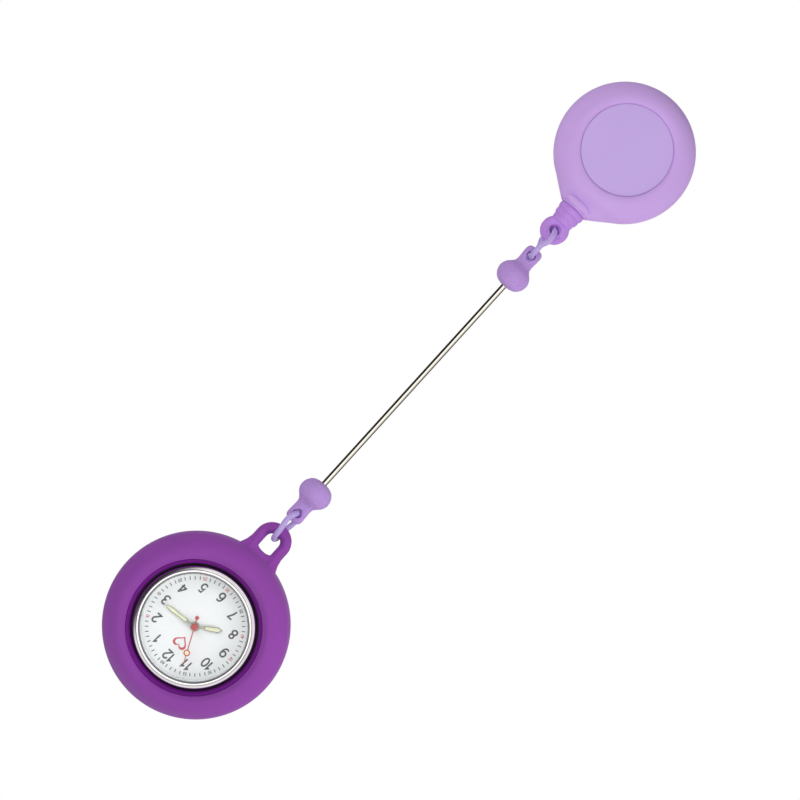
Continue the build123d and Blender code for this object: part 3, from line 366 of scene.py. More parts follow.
def plate(name, loops, low, high, bevel, place, offset=0.0):
    """Flat plate with bevelled edges, from closed outlines; inner outlines are holes. place has depth 0."""
    curve = bpy.data.curves.new(name, "CURVE")
    curve.dimensions = "2D"
    curve.fill_mode = "BOTH"
    curve.extrude = (high - low) / 2 - bevel
    curve.bevel_depth = bevel
    curve.bevel_resolution = 1
    curve.offset = offset - bevel
    for points in loops:
        line = curve.splines.new("POLY")
        line.points.add(len(points) - 1)
        for target, (px, py) in zip(line.points, points):
            target.co = (px, py, 0, 1)
        line.use_cyclic_u = True
    return solid_from(name, curve, place @ Matrix.Translation((0, 0, (low + high) / 2)))


def solid_from(name, curve, place):
    """Mesh object from a filled curve or text, its seams welded."""
    holder = bpy.data.objects.new(name, curve)
    scene.collection.objects.link(holder)
    mesh = bpy.data.meshes.new_from_object(holder.evaluated_get(bpy.context.evaluated_depsgraph_get()))
    bpy.data.objects.remove(holder)
    bm = bmesh.new()
    bm.from_mesh(mesh)
    bpy.data.meshes.remove(mesh)
    bmesh.ops.remove_doubles(bm, verts=bm.verts, dist=1e-4)
    bmesh.ops.transform(bm, matrix=place, verts=bm.verts)
    bmesh.ops.recalc_face_normals(bm, faces=bm.faces)
    return from_bmesh(name, bm)


def applied(obj):
    """Apply an object's modifiers to its mesh."""
    mesh = bpy.data.meshes.new_from_object(obj.evaluated_get(bpy.context.evaluated_depsgraph_get()))
    obj.modifiers.clear()
    old = obj.data
    obj.data = mesh
    bpy.data.meshes.remove(old)
    mesh.name = obj.name
    return obj


def boolean(obj, tool, operation="DIFFERENCE"):
    """Cut an object with a tool, or join the two; the tool is used up."""
    change = obj.modifiers.new("cut", "BOOLEAN")
    change.operation = operation
    change.object = tool
    change.solver = "EXACT"
    applied(obj)
    bpy.data.objects.remove(tool)
    return obj


def melted(obj, voxel, passes):
    """Rebuild a union as one skin and ease its inner corners."""
    change = obj.modifiers.new("skin", "REMESH")
    change.mode = "VOXEL"
    change.voxel_size = voxel
    ease = obj.modifiers.new("ease", "SMOOTH")
    ease.factor = 0.5
    ease.iterations = passes
    return applied(obj)


def joined(name, parts):
    """One object from several, their meshes in one."""
    bm = bmesh.new()
    for part in parts:
        bm.from_mesh(part.data)
        bpy.data.objects.remove(part)
    return from_bmesh(name, bm)


def put(obj, body, material, slot, *nodes, sharp=32.0, smooth=True):
    """Scale a piece to metres and put it on its body, in the place of CAD nodes."""
    obj.data.transform(Matrix.Scale(MM, 4))
    obj.data.materials.clear()
    obj.data.materials.append(material)
    if smooth:
        obj.data.shade_smooth()
        obj.data.set_sharp_from_angle(angle=math.radians(sharp))
    if body:
        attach(obj, body)
    if nodes:
        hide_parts(*nodes)
    return obj


def rounded_copy(node, width):
    """Copy of a CAD node, in millimetres, with its sharp edges rounded."""
    bm = bmesh.new()
    bm.from_mesh(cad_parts[node].data)
    bmesh.ops.scale(bm, vec=(1 / MM, 1 / MM, 1 / MM), verts=bm.verts)
    bmesh.ops.remove_doubles(bm, verts=bm.verts, dist=1e-3)
    bmesh.ops.dissolve_limit(bm, angle_limit=math.radians(1), verts=bm.verts, edges=bm.edges)
    obj = from_bmesh(node + "_look", bm)
    change = obj.modifiers.new("edge", "BEVEL")
    change.width = width
    change.segments = 2
    change.limit_method = "ANGLE"
    change.angle_limit = math.radians(35)
    return applied(obj)


# ---------------------------------------------------------------- reel
SNOUT_Z = span("reel_front_shell")[0].z
SNOUT_HALF = 3.66
REEL_HALF_DEPTH = 5.5
SEAM = 0.12  # half of the groove between the reel's two shells
BAND_Z = -16.7
REEL_R = span("reel_front_shell")[1].x
FLARE_DEPTH = [(-11.6, 4.9), (-13.6, 4.25), (-15.8, 3.6), (SNOUT_Z, 3.4)]


def reel_outline():
    """Half of the reel's outline from the snout's end up to the top: flat end, soft corner, flare and circle."""
    reach = math.hypot(SNOUT_HALF, SNOUT_Z)
    corner = math.atan2(SNOUT_HALF, -SNOUT_Z)
    touch = corner + math.acos(REEL_R / reach)
    leave = Vector((REEL_R * math.sin(touch), -REEL_R * math.cos(touch)))
    tip = Vector((SNOUT_HALF, SNOUT_Z))
    half = [Vector((SNOUT_HALF * 0.9 * k / 12, SNOUT_Z)) for k in range(12)]
    start = Vector((SNOUT_HALF - 0.35, SNOUT_Z))
    end = tip + (leave - tip).normalized() * 0.4
    half += [start * (1 - t) ** 2 + tip * 2 * t * (1 - t) + end * t * t for t in (0, 0.2, 0.4, 0.6, 0.8)]
    inward = Vector((-1, -1)).normalized()
    for k in range(24):
        t = k / 24
        half.append(end.lerp(leave, t) + inward * 0.22 * math.sin(math.pi * t) ** 1.5)
    for k in range(96):
        angle = touch + (math.pi - touch) * k / 96
        half.append(Vector((REEL_R * math.sin(angle), -REEL_R * math.cos(angle))))
    return half


HALF_OUTLINE = reel_outline()
OUTLINE = HALF_OUTLINE + [Vector((0, REEL_R))] + [Vector((-p.x, p.y)) for p in reversed(HALF_OUTLINE[1:])]


def along(table, value):
    """Look-up in a table of (key, value) with falling keys, its steps eased a little."""
    for (k0, v0), (k1, v1) in zip(table, table[1:]):
        if value >= k1:
            t = min(1.0, max(0.0, (k0 - value) / (k0 - k1)))
            t = t * t * (3 - 2 * t) * 0.4 + t * 0.6
            return v0 + (v1 - v0) * t
    return table[-1][1]


def flare_half_width(z):
    """Half of the reel's width at a height in its flare."""
    for a, b in zip(HALF_OUTLINE[16:], HALF_OUTLINE[17:]):
        if a.y <= z <= b.y:
            return a.x + (b.x - a.x) * (z - a.y) / max(1e-9, b.y - a.y)
    return SNOUT_HALF if z < -17 else REEL_R


def shell_depth(x, z, crest, power):
    """Depth of the reel's surface outside its crest: the disc's round rim, or the flare where that is deeper."""
    r = math.hypot(x, z)
    share = min(1.0, max(0.0, (r - crest) / (REEL_R - crest)))
    rim = REEL_HALF_DEPTH * (1 - share**power) ** (1 / power)
    if z > -10:
        return rim
    width = max(flare_half_width(z), abs(x) + NEAR_ZERO)
    flare = along(FLARE_DEPTH, z) * math.sqrt(max(0.0, 1 - (x / width) ** 2))
    both = (rim**6 + flare**6) ** (1 / 6)
    t = min(1.0, max(0.0, (r - crest - 0.3) / 3.0))
    t = t * t * (3 - 2 * t)
    hollow = 0.55 * t * math.exp(-(((z + 14.7) / 1.2) ** 2)) * max(0.0, 1 - (x / width) ** 2) ** 0.5
    return min(REEL_HALF_DEPTH, rim * (1 - t) + both * t - hollow)


def shell(name, way, crest, power, inner, face):
    """Half of the reel, with the cutter for its bore.

    way is +1 in front and -1 behind. face and inner are the (radius, depth) lines inside the crest and in the
    hollow.
    """

    def level(r, depth):
        if r < NEAR_ZERO:
            return [Vector((0, -(CHAIN + way * depth), 0))]
        return [Vector((p.normalized().x * r, -(CHAIN + way * depth), p.normalized().y * r)) for p in OUTLINE]

    steps = 26
    rings = [level(r, depth) for r, depth in face]
    for k in range(1, steps + 1):
        ring = []
        for p in OUTLINE:
            reach = p.length
            r = crest + (reach - crest) * math.sin(math.pi / 2 * k / steps)
            spot = p.normalized() * r
            depth = shell_depth(spot.x, spot.y, crest, power)
            edge = shell_depth(p.x, p.y, crest, power)
            fillet = min(0.4, edge * 0.4)
            if fillet > 1e-3 and r > reach - fillet:
                depth = min(depth, edge - fillet * (1 - math.sqrt(max(0, 1 - ((r - reach + fillet) / fillet) ** 2))))
            ring.append(Vector((spot.x, -(CHAIN + way * max(depth, SEAM)), spot.y)))
        rings.append(ring)
    for share in (0.6, 0.3, 0.0):
        ring = []
        for p in OUTLINE:
            edge = max(SEAM, shell_depth(p.x, p.y, crest, power) - 0.4)
            ring.append(Vector((p.x, -(CHAIN + way * (SEAM + (edge - SEAM) * share)), p.y)))
        rings.append(ring)
    rings.append([Vector((p.x - p.normalized().x * 0.1, -(CHAIN + way * 0.01), p.y - p.normalized().y * 0.1))
                  for p in OUTLINE])
    rings += [level(r, depth) for r, depth in inner]
    bore = upright("bore", [(0, -13.2), (2.55, -13.2), (2.55, -19), (0, -19)])
    return lathed(name, rings), bore


front_face = [(0, 4.6), (6, 4.6), (10.66, 4.6), (10.7, 4.66), (10.72, 4.95), (10.8, 5.14), (10.95, 5.3),
              (11.2, 5.42), (11.5, 5.48), (11.9, 5.5)]
front_hollow = [(15.4, 0.01), (15.4, 1.0), (14.3, 2.6), (12.6, 3.6), (6, 3.6), (0, 3.6)]
reel_front, bore = shell("reel_front", 1, 12.0, 1.8, front_hollow, front_face)


def raised_band():
    """Soft raised band across the snout's front."""
    rings = []
    half_long = 3.1
    for k in range(-24, 25):
        x = half_long * math.sin(math.pi / 2 * k / 24)
        share = abs(x) / half_long
        width = 0.85 * max(0.0, 1 - share**4) ** 0.5
        top = 4.32 - 0.3 * share**2
        outline = soften([(-width, 1.8), (-width, top - 0.12, 0.3), (0, top, 0.5), (width, top - 0.12, 0.3),
                          (width, 1.8)], 5)
        if width < 0.02:
            rings.append([Vector((x, -(CHAIN + (top + 1.8) / 2), BAND_Z))])
        else:
            rings.append([Vector((x, -(CHAIN + d), BAND_Z + w)) for w, d in outline])
    return skin("band", rings)


boolean(reel_front, raised_band(), "UNION")
boolean(reel_front, bore)
put(reel_front, "reel", LILAC, "reel_plastic", "reel_front_shell", sharp=38)

back_face = [(1.5, 4.3), (1.5, 5.42), (1.58, 5.5), (4.6, 5.5), (4.66, 5.4), (4.9, 5.38), (5.14, 5.4), (5.2, 5.5),
             (10.4, 5.5), (10.46, 5.4), (10.7, 5.38), (10.94, 5.4), (11.0, 5.5), (13.3, 5.5)]
back_hollow = [(15.4, 0.02), (15.4, 2.6), (13.6, 4.3)]
reel_back, bore = shell("reel_back", -1, 13.6, 2.4, back_hollow, back_face)
boolean(reel_back, bore)
put(reel_back, "reel", LILAC, "reel_plastic", "reel_back_shell", sharp=38)

inlay = turned("reel_inlay", [(0, 4.62)] + soften([(0.001, 4.62), (10.69, 4.62, 0.05), (10.69, 5.1, 0.14),
                                                   (0.001, 5.12)], 5)[1:-1] + [(9.0, 5.11), (5.0, 5.12), (0, 5.12)])
put(inlay, "reel", INLAY, "inlay_plastic", "front_inlay")

bushing = upright("cord_bushing", soften([(1.75, -17.84, 0.1), (1.75, -15.9, 0.2), (2.0, -15.5, 0.1),
                                         (2.5, -15.5), (2.5, -17.84, 0.12)]))
put(bushing, "reel", INNER, "inner_plastic", "outlet_bushing")

# ---------------------------------------------------------------- plug with its eyelet
EYELET_MID = -24.4
UPPER_LINK_TOP = -24.5
LOWER_LINK_TOP = -113.7
LINK_DROP = 8.0  # from a link's upper wire to its lower one


def waisted_hole(wire, mouth, half, wide):
    """Cutter for a hole round a link's wire: snug in the middle, opening towards a mouth on each face."""
    rings = []
    for k in range(-14, 15):
        share = abs(k) / 14
        depth = (half + 0.3) * k / 14
        grown = max(0.0, min(1.0, share * (half + 0.3) / half))
        lip = 0.25 * max(0.0, share - 0.75) ** 1.2 / 0.25**1.2
        radius = 0.74 + (wide - 0.74) * grown**1.1 + lip
        mid = wire + (mouth - wire) * grown
        rings.append([Vector((radius * math.cos(TAU * i / 64), -(CHAIN + depth), mid + radius * math.sin(TAU * i / 64)))
                      for i in range(64)])
    return skin("hole", capped(rings))


def eyelet():
    """Round pad of the plug."""
    section = [(0.0, 1.5)]
    for k in range(9):
        angle = math.pi / 2 * k / 8
        section.append((2.3 + 1.1 * math.sin(angle), 0.4 + 1.1 * math.cos(angle)))
    outline = section + [(r, -depth) for r, depth in reversed(section)]
    return turned("eyelet", outline, EYELET_MID, 96)


plug = upright(
    "plug",
    soften([(1.05, -20.4), (1.05, -16.0, 0.05), (1.6, -16.0, 0.12), (1.6, SNOUT_Z - 0.03), (3.2, SNOUT_Z - 0.03, 0.12),
            (3.36, -18.4, 0.15), (3.3, -19.2, 0.3), (3.0, -19.46, 0.12), (2.98, -19.6, 0.1), (3.14, -19.85, 0.2),
            (3.0, -20.75, 0.3), (2.72, -21.0, 0.12), (2.68, -21.12, 0.1), (2.76, -21.5, 0.2), (2.5, -22.4),
            (0.001, -22.4), (0.001, -20.5), (1.0, -20.5)], 5),
)
boolean(plug, eyelet(), "UNION")
melted(plug, 0.09, 12)
boolean(plug, waisted_hole(UPPER_LINK_TOP, UPPER_LINK_TOP + 0.22, 1.5, 1.42))
put(plug, "plug", PLUG, "plug_plastic", "cord_plug", sharp=50)


# ---------------------------------------------------------------- loose links
def link(name, top, twist, lean, even_foot, body, node):
    """Closed link in the side plane, a little twisted. even_foot keeps its lower bend flat, for a tab to slide on."""
    bend = 2.9
    high = top - bend
    low = top - LINK_DROP + bend
    flat = []
    for k in range(24):
        angle = math.pi * k / 24
        flat.append((bend * math.cos(angle), high + bend * math.sin(angle)))
    for k in range(12):
        flat.append((-bend, high + (low - high) * k / 12))
    for k in range(24):
        angle = math.pi + math.pi * k / 24
        flat.append((bend * math.cos(angle), low + bend * math.sin(angle)))
    for k in range(12):
        flat.append((bend, low + (high - low) * k / 12))
    path = []
    middle = (high + low) / 2
    turn = math.tan(math.radians(twist))
    for y, z in flat:
        t = min(1.0, max(0.0, (z - low) / (high - low))) if even_foot else 1.0
        sway = 0 if even_foot else lean * math.sin((z - middle) / 4.0 * math.pi) * (-y / bend)
        path.append(Vector((y * turn * t * t * (3 - 2 * t) + sway, -CHAIN + y, z)))
    obj = tube(name, path, oval(0.68, 0.72), Vector((1, 0, 0)), loop=True)
    return put(obj, body, LINK, "link_plastic", node, sharp=180)


link("upper_ring", UPPER_LINK_TOP, -14.0, 0.0, True, "upper_link", "upper_link")
link("lower_ring", LOWER_LINK_TOP, 13.0, -0.22, False, "lower_link", "lower_link")


# ---------------------------------------------------------------- ball ends and rod
# Height from the ball's middle, half width, half thickness and squareness of each section, ball to tab.
BALL_SECTIONS = [
    (-3.38, 0.85, 0.85, 2.0), (-3.3, 1.6, 1.6, 2.0), (-2.75, 2.85, 2.85, 2.0), (-1.5, 3.8, 3.8, 2.0),
    (0.0, 4.05, 4.05, 2.0), (1.3, 3.62, 3.55, 2.0), (2.3, 2.72, 2.5, 2.0), (3.0, 2.18, 1.75, 2.2),
    (4.0, 2.03, 1.28, 2.7), (5.2, 2.1, 1.12, 3.2), (6.6, 2.15, 1.08, 3.4), (7.4, 2.0, 1.02, 3.2),
    (7.9, 1.5, 0.82, 2.8), (8.08, 0.7, 0.45, 2.4),
]


def ball_end(name, mid, way, wire, body, node):
    """Flattened ball flowing into a pierced tab. way is +1 where the tab points up; wire is the link's height."""
    rings = [hoop(r, mid + way * s) for r, s in ((0, -1.0), (0.72, -1.0), (0.72, -3.3))]
    for s, wide, thick, power in flowing(BALL_SECTIONS, 7):
        ring = []
        for i in range(96):
            c = math.cos(TAU * i / 96)
            d = math.sin(TAU * i / 96)
            k = (abs(c) ** power + abs(d) ** power) ** (-1 / power)
            ring.append(Vector((wide * c * k, -CHAIN + thick * d * k, mid + way * s)))
        rings.append(ring)
    rings.append(hoop(0, mid + way * 8.1))
    ball = skin(name, rings)
    boolean(ball, waisted_hole(wire, wire - way * 0.2, 1.1, 1.25))
    return put(ball, body, BALL, "ball_plastic", node, sharp=50)


UPPER_BALL = -38.5
LOWER_BALL = -107.8
ball_end("upper_ball", UPPER_BALL, 1, UPPER_LINK_TOP - LINK_DROP, "rod", "upper_ball_end")
ball_end("lower_ball", LOWER_BALL, -1, LOWER_LINK_TOP, "rod", "lower_ball_end")

rod = upright("steel_rod", soften([(0, -106.75), (0.7, -106.75, 0.15), (0.7, -39.55, 0.15), (0, -39.55)], 4), 96)
put(rod, "rod", ROD_STEEL, "bright_steel", "rod")

# ---------------------------------------------------------------- silicone jacket
jacket_front = flowing([(15.8, 4.4), (15.82, 5.45), (16.15, 6.0), (17.3, 6.55), (19.1, 6.05), (20.6, 4.62),
                        (21.6, 2.6), (22.0, 0.0), (21.75, -2.2), (20.8, -4.1), (19.4, -5.15), (17.8, -5.4)], 7)
jacket_back = [(14.0, -5.4), (11.5, -5.4), (11.2, -5.38), (10.85, -5.2), (10.6, -4.9), (10.5, -4.6), (10.5, -3.4)]
jacket_inside = [(10.55, -3.3), (15.6, -3.3), (15.65, -3.2), (15.65, 3.25), (15.62, 3.33), (15.7, 3.45), (15.8, 3.6)]
jacket = turned("jacket", jacket_front + jacket_back + jacket_inside, WATCH_Z, 288)


def bail():
    """Loop of round bar standing in the jacket's rim."""
    half, foot, leg = 3.2, 19.4, 7.0
    path = [(half, foot + leg * k / 10) for k in range(10)]
    path += [(half * math.cos(math.pi * k / 32), 26.4 + 3.1 * math.sin(math.pi * k / 32)) for k in range(33)]
    path += [(-half, 26.4 - leg * k / 10) for k in range(1, 11)]
    line = [Vector((x, -CHAIN, WATCH_Z + up)) for x, up in path]
    return tube("bail", line, oval(1.42, 1.36), Vector((0, 1, 0)))


loop = bail()
web = plate(
    "web",
    [soften([(-6.6, 19.4), (6.6, 19.4), (5.5, 21.4), (4.85, 22.9), (4.45, 25.0, 0.5), (3.0, 25.0, 0.5),
             (1.6, 23.1, 1.2), (-1.6, 23.1, 1.2), (-3.0, 25.0, 0.5), (-4.45, 25.0, 0.5), (-4.85, 22.9),
             (-5.5, 21.4)])],
    -1.2, 1.2, 0.5, facing(0, 0, WATCH_Z),
)
boolean(loop, web, "UNION")
melted(loop, 0.12, 14)
boolean(jacket, loop, "UNION")
CROWN_Y = centre("crown").y


def sideways(name, outline, count=64):
    """Turn (x, radius) points about the winding stem's axis."""
    rings = []
    turns = [TAU * i / count for i in range(count)]
    for x, r in outline:
        if r < NEAR_ZERO:
            rings.append([Vector((x, CROWN_Y, WATCH_Z))])
            continue
        rings.append([Vector((x, CROWN_Y + r * math.cos(a), WATCH_Z + r * math.sin(a))) for a in turns])
    return lathed(name, rings)


boolean(jacket, sideways("pocket_tool", [(-14.5, 0), (-14.5, 2.3), (-18.9, 2.3), (-19.3, 1.9), (-19.3, 0)]))
put(jacket, "watch", SILICONE, "jacket_silicone", "watch_jacket", sharp=50)
# Ring round the jacket's opening in the darker silicone: painted shade of the lip's inner wall, which is the same
# silicone as the jacket.
lip_shade_ring = turned("jacket_lip_shade", soften([(14.8, 3.6, 0.05), (15.85, 3.6), (15.86, 5.5), (15.68, 5.66, 0.08),
                                    (15.15, 5.25, 0.3), (14.8, 4.6, 0.3)], 5), WATCH_Z, 288)
put(lip_shade_ring, "watch", LIP_SHADE_SILICONE, "jacket_silicone", sharp=50)

# ---------------------------------------------------------------- case, crystal and dial ring
case = turned(
    "case",
    soften([(12.75, -2.2), (12.75, 5.55, 0.05), (12.86, 5.78, 0.08), (13.3, 5.8, 0.1), (13.42, 5.6, 0.04),
            (13.55, 5.56, 0.05), (14.1, 5.36, 0.3), (14.34, 4.85, 0.25), (14.36, 4.3, 0.1), (14.36, 3.2, 0.1),
            (15.2, 3.2, 0.1), (15.6, 2.8, 0.15), (15.6, -2.6, 0.15), (15.2, -3.1, 0.15), (14.3, -3.1, 0.05),
            (14.3, -2.2)], 5),
    WATCH_Z, 288,
)
boolean(case, sideways("tube_hole", [(-12, 0), (-12, 1.0), (-17, 1.0), (-17, 0)], 48))
put(case, "watch", STEEL, "bright_steel", "watch_case", sharp=25)

# Near-black ring on the case's flange between the bezel and the jacket's lip: a painted shadow of the deep gap there,
# not a real seal.
gap_shade_ring = turned("bezel_gap_shade", soften([(14.42, 3.22), (15.0, 3.22, 0.03), (14.95, 3.4, 0.05), (14.42, 3.45, 0.05)], 3),
              WATCH_Z, 192)
put(gap_shade_ring, "watch", RUBBER_AND_GAP_SHADE, "gasket_rubber", sharp=60)

cover_low, cover_high = span("case_back")
cover_back = -cover_high.y - CHAIN
cover_front = -cover_low.y - CHAIN
cover_rim = cover_high.x
cover = turned(
    "back_cover",
    soften([(0, cover_front), (cover_rim, cover_front, 0.05), (cover_rim, cover_back, 0.1), (9.9, cover_back, 0.1),
            (9.7, cover_back + 0.12, 0.05), (9.4, cover_back + 0.12, 0.05), (9.2, cover_back, 0.1),
            (3.2, cover_back, 0.1), (3.0, cover_back + 0.1, 0.05), (2.8, cover_back, 0.1), (0, cover_back)], 4),
    WATCH_Z, 192,
)
put(cover, "watch", BRUSHED, "bright_steel", "case_back", sharp=25)

crystal_rim = soften([(0.001, 4.45), (12.45, 4.45, 0.04), (12.45, 5.5, 0.22), (0.001, 5.5)], 5)[1:-1]
crystal = turned("glass", [(0, 4.45)] + crystal_rim + [(0, 5.5)], WATCH_Z, 192)
put(crystal, "watch", GLASS, "crystal_glass", "crystal")

rehaut = turned("dial_ring_look", soften([(12.25, 2.62, 0.03), (12.7, 2.62), (12.7, 4.4), (12.52, 4.4, 0.04),
                                          (12.34, 3.3, 0.1)], 4), WATCH_Z, 288)
put(rehaut, "watch", REHAUT, "plate_metal", "dial_ring", sharp=25)


# ---------------------------------------------------------------- dial printing
DIAL_FACE = -span("dial")[0].y - CHAIN
INK = 0.014
INK_GAP = 0.002  # between the dial and the ink, so that no two faces share a plane
HOUR_RING = 9.0
MINUTE_RING = 11.12


def on_dial(turn=0.0, x=0.0, up=0.0):
    """Plane on the dial in its own axes, twelve up, as the wearer reads it."""
    return facing(DIAL_FACE, -x, WATCH_Z - up, 180 + turn)


def arc(x, y, wide, tall, start, end, steps=20):
    """Points of an elliptical arc, its angles in degrees."""
    turns = [math.radians(start + (end - start) * k / steps) for k in range(steps + 1)]
    return [(x + wide * math.cos(a), y + tall * math.sin(a)) for a in turns]


SIX = [arc(0.27, 0.47, 0.27, 0.41, 52, 180) + arc(0.24, 0.27, 0.24, 0.27, 180, 540, 36)]
FIGURES = {
    "0": [arc(0.235, 0.44, 0.235, 0.44, 0, 360, 40)],
    "1": [[(0.04, 0.68), (0.13, 0.73), (0.25, 0.86), (0.27, 0.88), (0.27, 0.0)]],
    "2": [arc(0.235, 0.64, 0.225, 0.24, 170, -38) + [(0.02, 0.04), (0.0, 0.0), (0.48, 0.0)]],
    "3": [arc(0.22, 0.665, 0.2, 0.215, 155, -80) + arc(0.22, 0.235, 0.24, 0.235, 80, -155)],
    "4": [[(0.36, 0.0), (0.36, 0.86), (0.33, 0.86), (0.0, 0.27), (0.0, 0.23), (0.5, 0.23)]],
    "5": [[(0.44, 0.88), (0.12, 0.88), (0.05, 0.44)] + arc(0.23, 0.285, 0.235, 0.285, 125, -150)],
    "6": SIX,
    "7": [[(0.0, 0.88), (0.46, 0.88), (0.46, 0.84), (0.3, 0.56), (0.2, 0.3), (0.16, 0.0)]],
    "8": [arc(0.235, 0.66, 0.2, 0.215, -90, 270, 32), arc(0.235, 0.225, 0.235, 0.225, 90, 450, 32)],
    "9": [[(0.48 - x, 0.88 - y) for x, y in SIX[0]]],
}


def stroke(points, half):
    """Printed line of even width through points, mitred at its corners."""
    line = [Vector(p) for p in points]
    closed = (line[0] - line[-1]).length < 1e-6
    if closed:
        line.pop()
    rings = []
    for i, here in enumerate(line):
        before = (here - line[i - 1]).normalized() if closed or i > 0 else (line[1] - here).normalized()
        after = (line[(i + 1) % len(line)] - here).normalized() if closed or i + 1 < len(line) else before
        middle = before + after
        normal = Vector((-middle.y, middle.x)).normalized()
        side = normal * half / max(0.45, normal.dot(Vector((-before.y, before.x))))
        left, right = here + side, here - side
        rings.append([Vector((left.x, left.y, 0)), Vector((right.x, right.y, 0)), Vector((right.x, right.y, INK)),
                      Vector((left.x, left.y, INK))])
    return skin("stroke", rings if closed else capped(rings), loop=closed)


def lettering(words, height, x, up, turn, weight, slant):
    """Number printed with its middle at (x, up) on the dial. weight is the stroke's width over the height."""
    strokes = []
    pen = 0.0
    for word in words:
        for path in FIGURES[word]:
            strokes.append(stroke([((px + pen) * height + slant * py * height, py * height) for px, py in path],
                                  weight * height / 2))
        pen += 0.5 if word == "1" else 0.66
    obj = joined("figure", strokes)
    low = min(v.co.x for v in obj.data.vertices)
    high = max(v.co.x for v in obj.data.vertices)
    obj.data.transform(Matrix.Translation((-(low + high) / 2, -0.44 * height, INK_GAP)))
    obj.data.transform(on_dial(turn, x, up))
    return obj


def printed(name, loops, place):
    """Thin layer of ink from closed outlines."""
    return plate(name, loops, INK_GAP, INK_GAP + INK, 0.001, place)


def mark(x0, x1, y0, y1, turn):
    """Small printed bar, in axes turned clockwise by turn degrees on the dial."""
    return printed("mark", [[(x0, y0), (x1, y0), (x1, y1), (x0, y1)]], on_dial(-turn))


hours = []
for hour in range(1, 13):
    angle = TAU * hour / 12
    x, up = HOUR_RING * math.sin(angle), HOUR_RING * math.cos(angle)
    hours.append(lettering(str(hour), 2.45, x, up, 0, 0.165, 0.08))
put(joined("dial_hours", hours), "watch", PRINT_GREY, "chip_black", smooth=False)

grey = []
red = []
for minute in range(1, 61):
    degrees = minute * 6
    angle = math.radians(degrees)
    if minute % 5:
        grey.append(mark(-0.1, 0.1, 10.75, 11.55, degrees))
        continue
    turn = -degrees if math.cos(angle) > -0.01 else 180 - degrees
    x, up = MINUTE_RING * math.sin(angle), MINUTE_RING * math.cos(angle)
    piece = lettering(str(minute), 0.74, x, up, turn, 0.17, 0.05)
    (red if minute in (10, 25, 30, 40, 45) else grey).append(piece)
put(joined("dial_minutes", grey), "watch", PRINT_GREY, "chip_black", smooth=False)


def heart(scale):
    """Outline of a heart."""
    points = []
    for k in range(72):
        t = TAU * k / 72
        points.append((scale * 16 * math.sin(t) ** 3,
                       scale * (13 * math.cos(t) - 5 * math.cos(2 * t) - 2 * math.cos(3 * t) - math.cos(4 * t) + 2.5)))
    return points


emblem = printed("emblem", [heart(0.108), heart(0.076)], on_dial(0, 0, 4.7))
put(joined("dial_red_print", red + [emblem]), "watch", PRINT_RED, "hand_red", smooth=False)


# ---------------------------------------------------------------- hands
def hand_frame(angle):
    """Plane through the dial's centre, its x axis along a hand, at depth 0."""
    return facing(0, 0, WATCH_Z, -90 - angle)


def circle(radius, x=0.0, count=48):
    """Closed outline of a circle on a hand's axis."""
    return [(x + radius * math.cos(TAU * i / count), radius * math.sin(TAU * i / count)) for i in range(count)]


def baton(name, width, tip, shoulder, hub, hole, slot, low, angle, body, nodes):
    """Silver hand with a slot, and its luminous filling a little domed."""
    neck, waist, wide = width
    reach = math.sqrt(hub * hub - neck * neck)
    start = math.atan2(neck, reach)
    outline = [(1.9, -neck), (2.2, -waist), (shoulder, -wide), (tip, 0), (shoulder, wide), (2.2, waist), (1.9, neck)]
    for k in range(33):
        a = start + (TAU - 2 * start) * k / 32
        outline.append((hub * math.cos(a), hub * math.sin(a)))
    place = hand_frame(angle)
    metal = plate(name, [outline, slot, circle(hole)], low, low + 0.15, 0.035, place)
    put(metal, body, HAND_STEEL, "hand_steel", nodes[0], sharp=20)
    glow = plate(name + "_glow", [slot], low + 0.02, low + 0.13, 0.025, place, offset=-0.008)
    put(glow, body, LUME, "lume", nodes[1], sharp=20)


MINUTE_ANGLE = 85.3
HOUR_ANGLE = 236.9
SECOND_ANGLE = 334.3
baton("hour_pointer", (0.28, 0.52, 0.68), 6.5, 5.35, 1.15, 0.755,
      [(2.45, -0.32), (5.3, -0.42), (5.9, -0.18), (5.9, 0.18), (5.3, 0.42), (2.45, 0.32)], 3.0, HOUR_ANGLE, "hour",
      ("hour_hand", "hour_hand_lume"))
baton("minute_pointer", (0.24, 0.45, 0.56), 8.5, 6.95, 0.85, 0.455,
      [(2.4, -0.27), (6.9, -0.34), (7.9, -0.14), (7.9, 0.14), (6.9, 0.34), (2.4, 0.27)], 3.45, MINUTE_ANGLE, "minute",
      ("minute_hand", "minute_hand_lume"))

second_place = hand_frame(SECOND_ANGLE)
needle = plate("second_pointer", [[(-2.3, -0.14), (5.6, -0.12), (5.6, 0.12), (-2.3, 0.14)]], 3.9, 4.0, 0.02,
               second_place)
for extra in (
    plate("tip", [[(6.8, -0.11), (8.9, -0.08), (8.9, 0.08), (6.8, 0.11)]], 3.9, 4.0, 0.02, second_place),
    plate("ring", [circle(0.76, 6.2), circle(0.5, 6.2)], 3.9, 4.0, 0.025, second_place),
    plate("tail", [circle(0.48, -2.2)], 3.9, 4.0, 0.03, second_place),
):
    boolean(needle, extra, "UNION")
hub = turned("hub", soften([(0, 3.89), (0.78, 3.89, 0.03), (0.78, 4.02, 0.05), (0.58, 4.06, 0.05), (0.52, 4.2, 0.1),
                            (0, 4.24)], 4), WATCH_Z, 64)
boolean(needle, hub, "UNION")
put(needle, "second", RED, "hand_red", "second_hand", sharp=30)
drop = plate("second_glow", [circle(0.49, 6.2)], 3.91, 4.01, 0.03, second_place)
put(drop, "second", LUME_ORANGE, "lume_orange", "second_hand_lume", sharp=30)

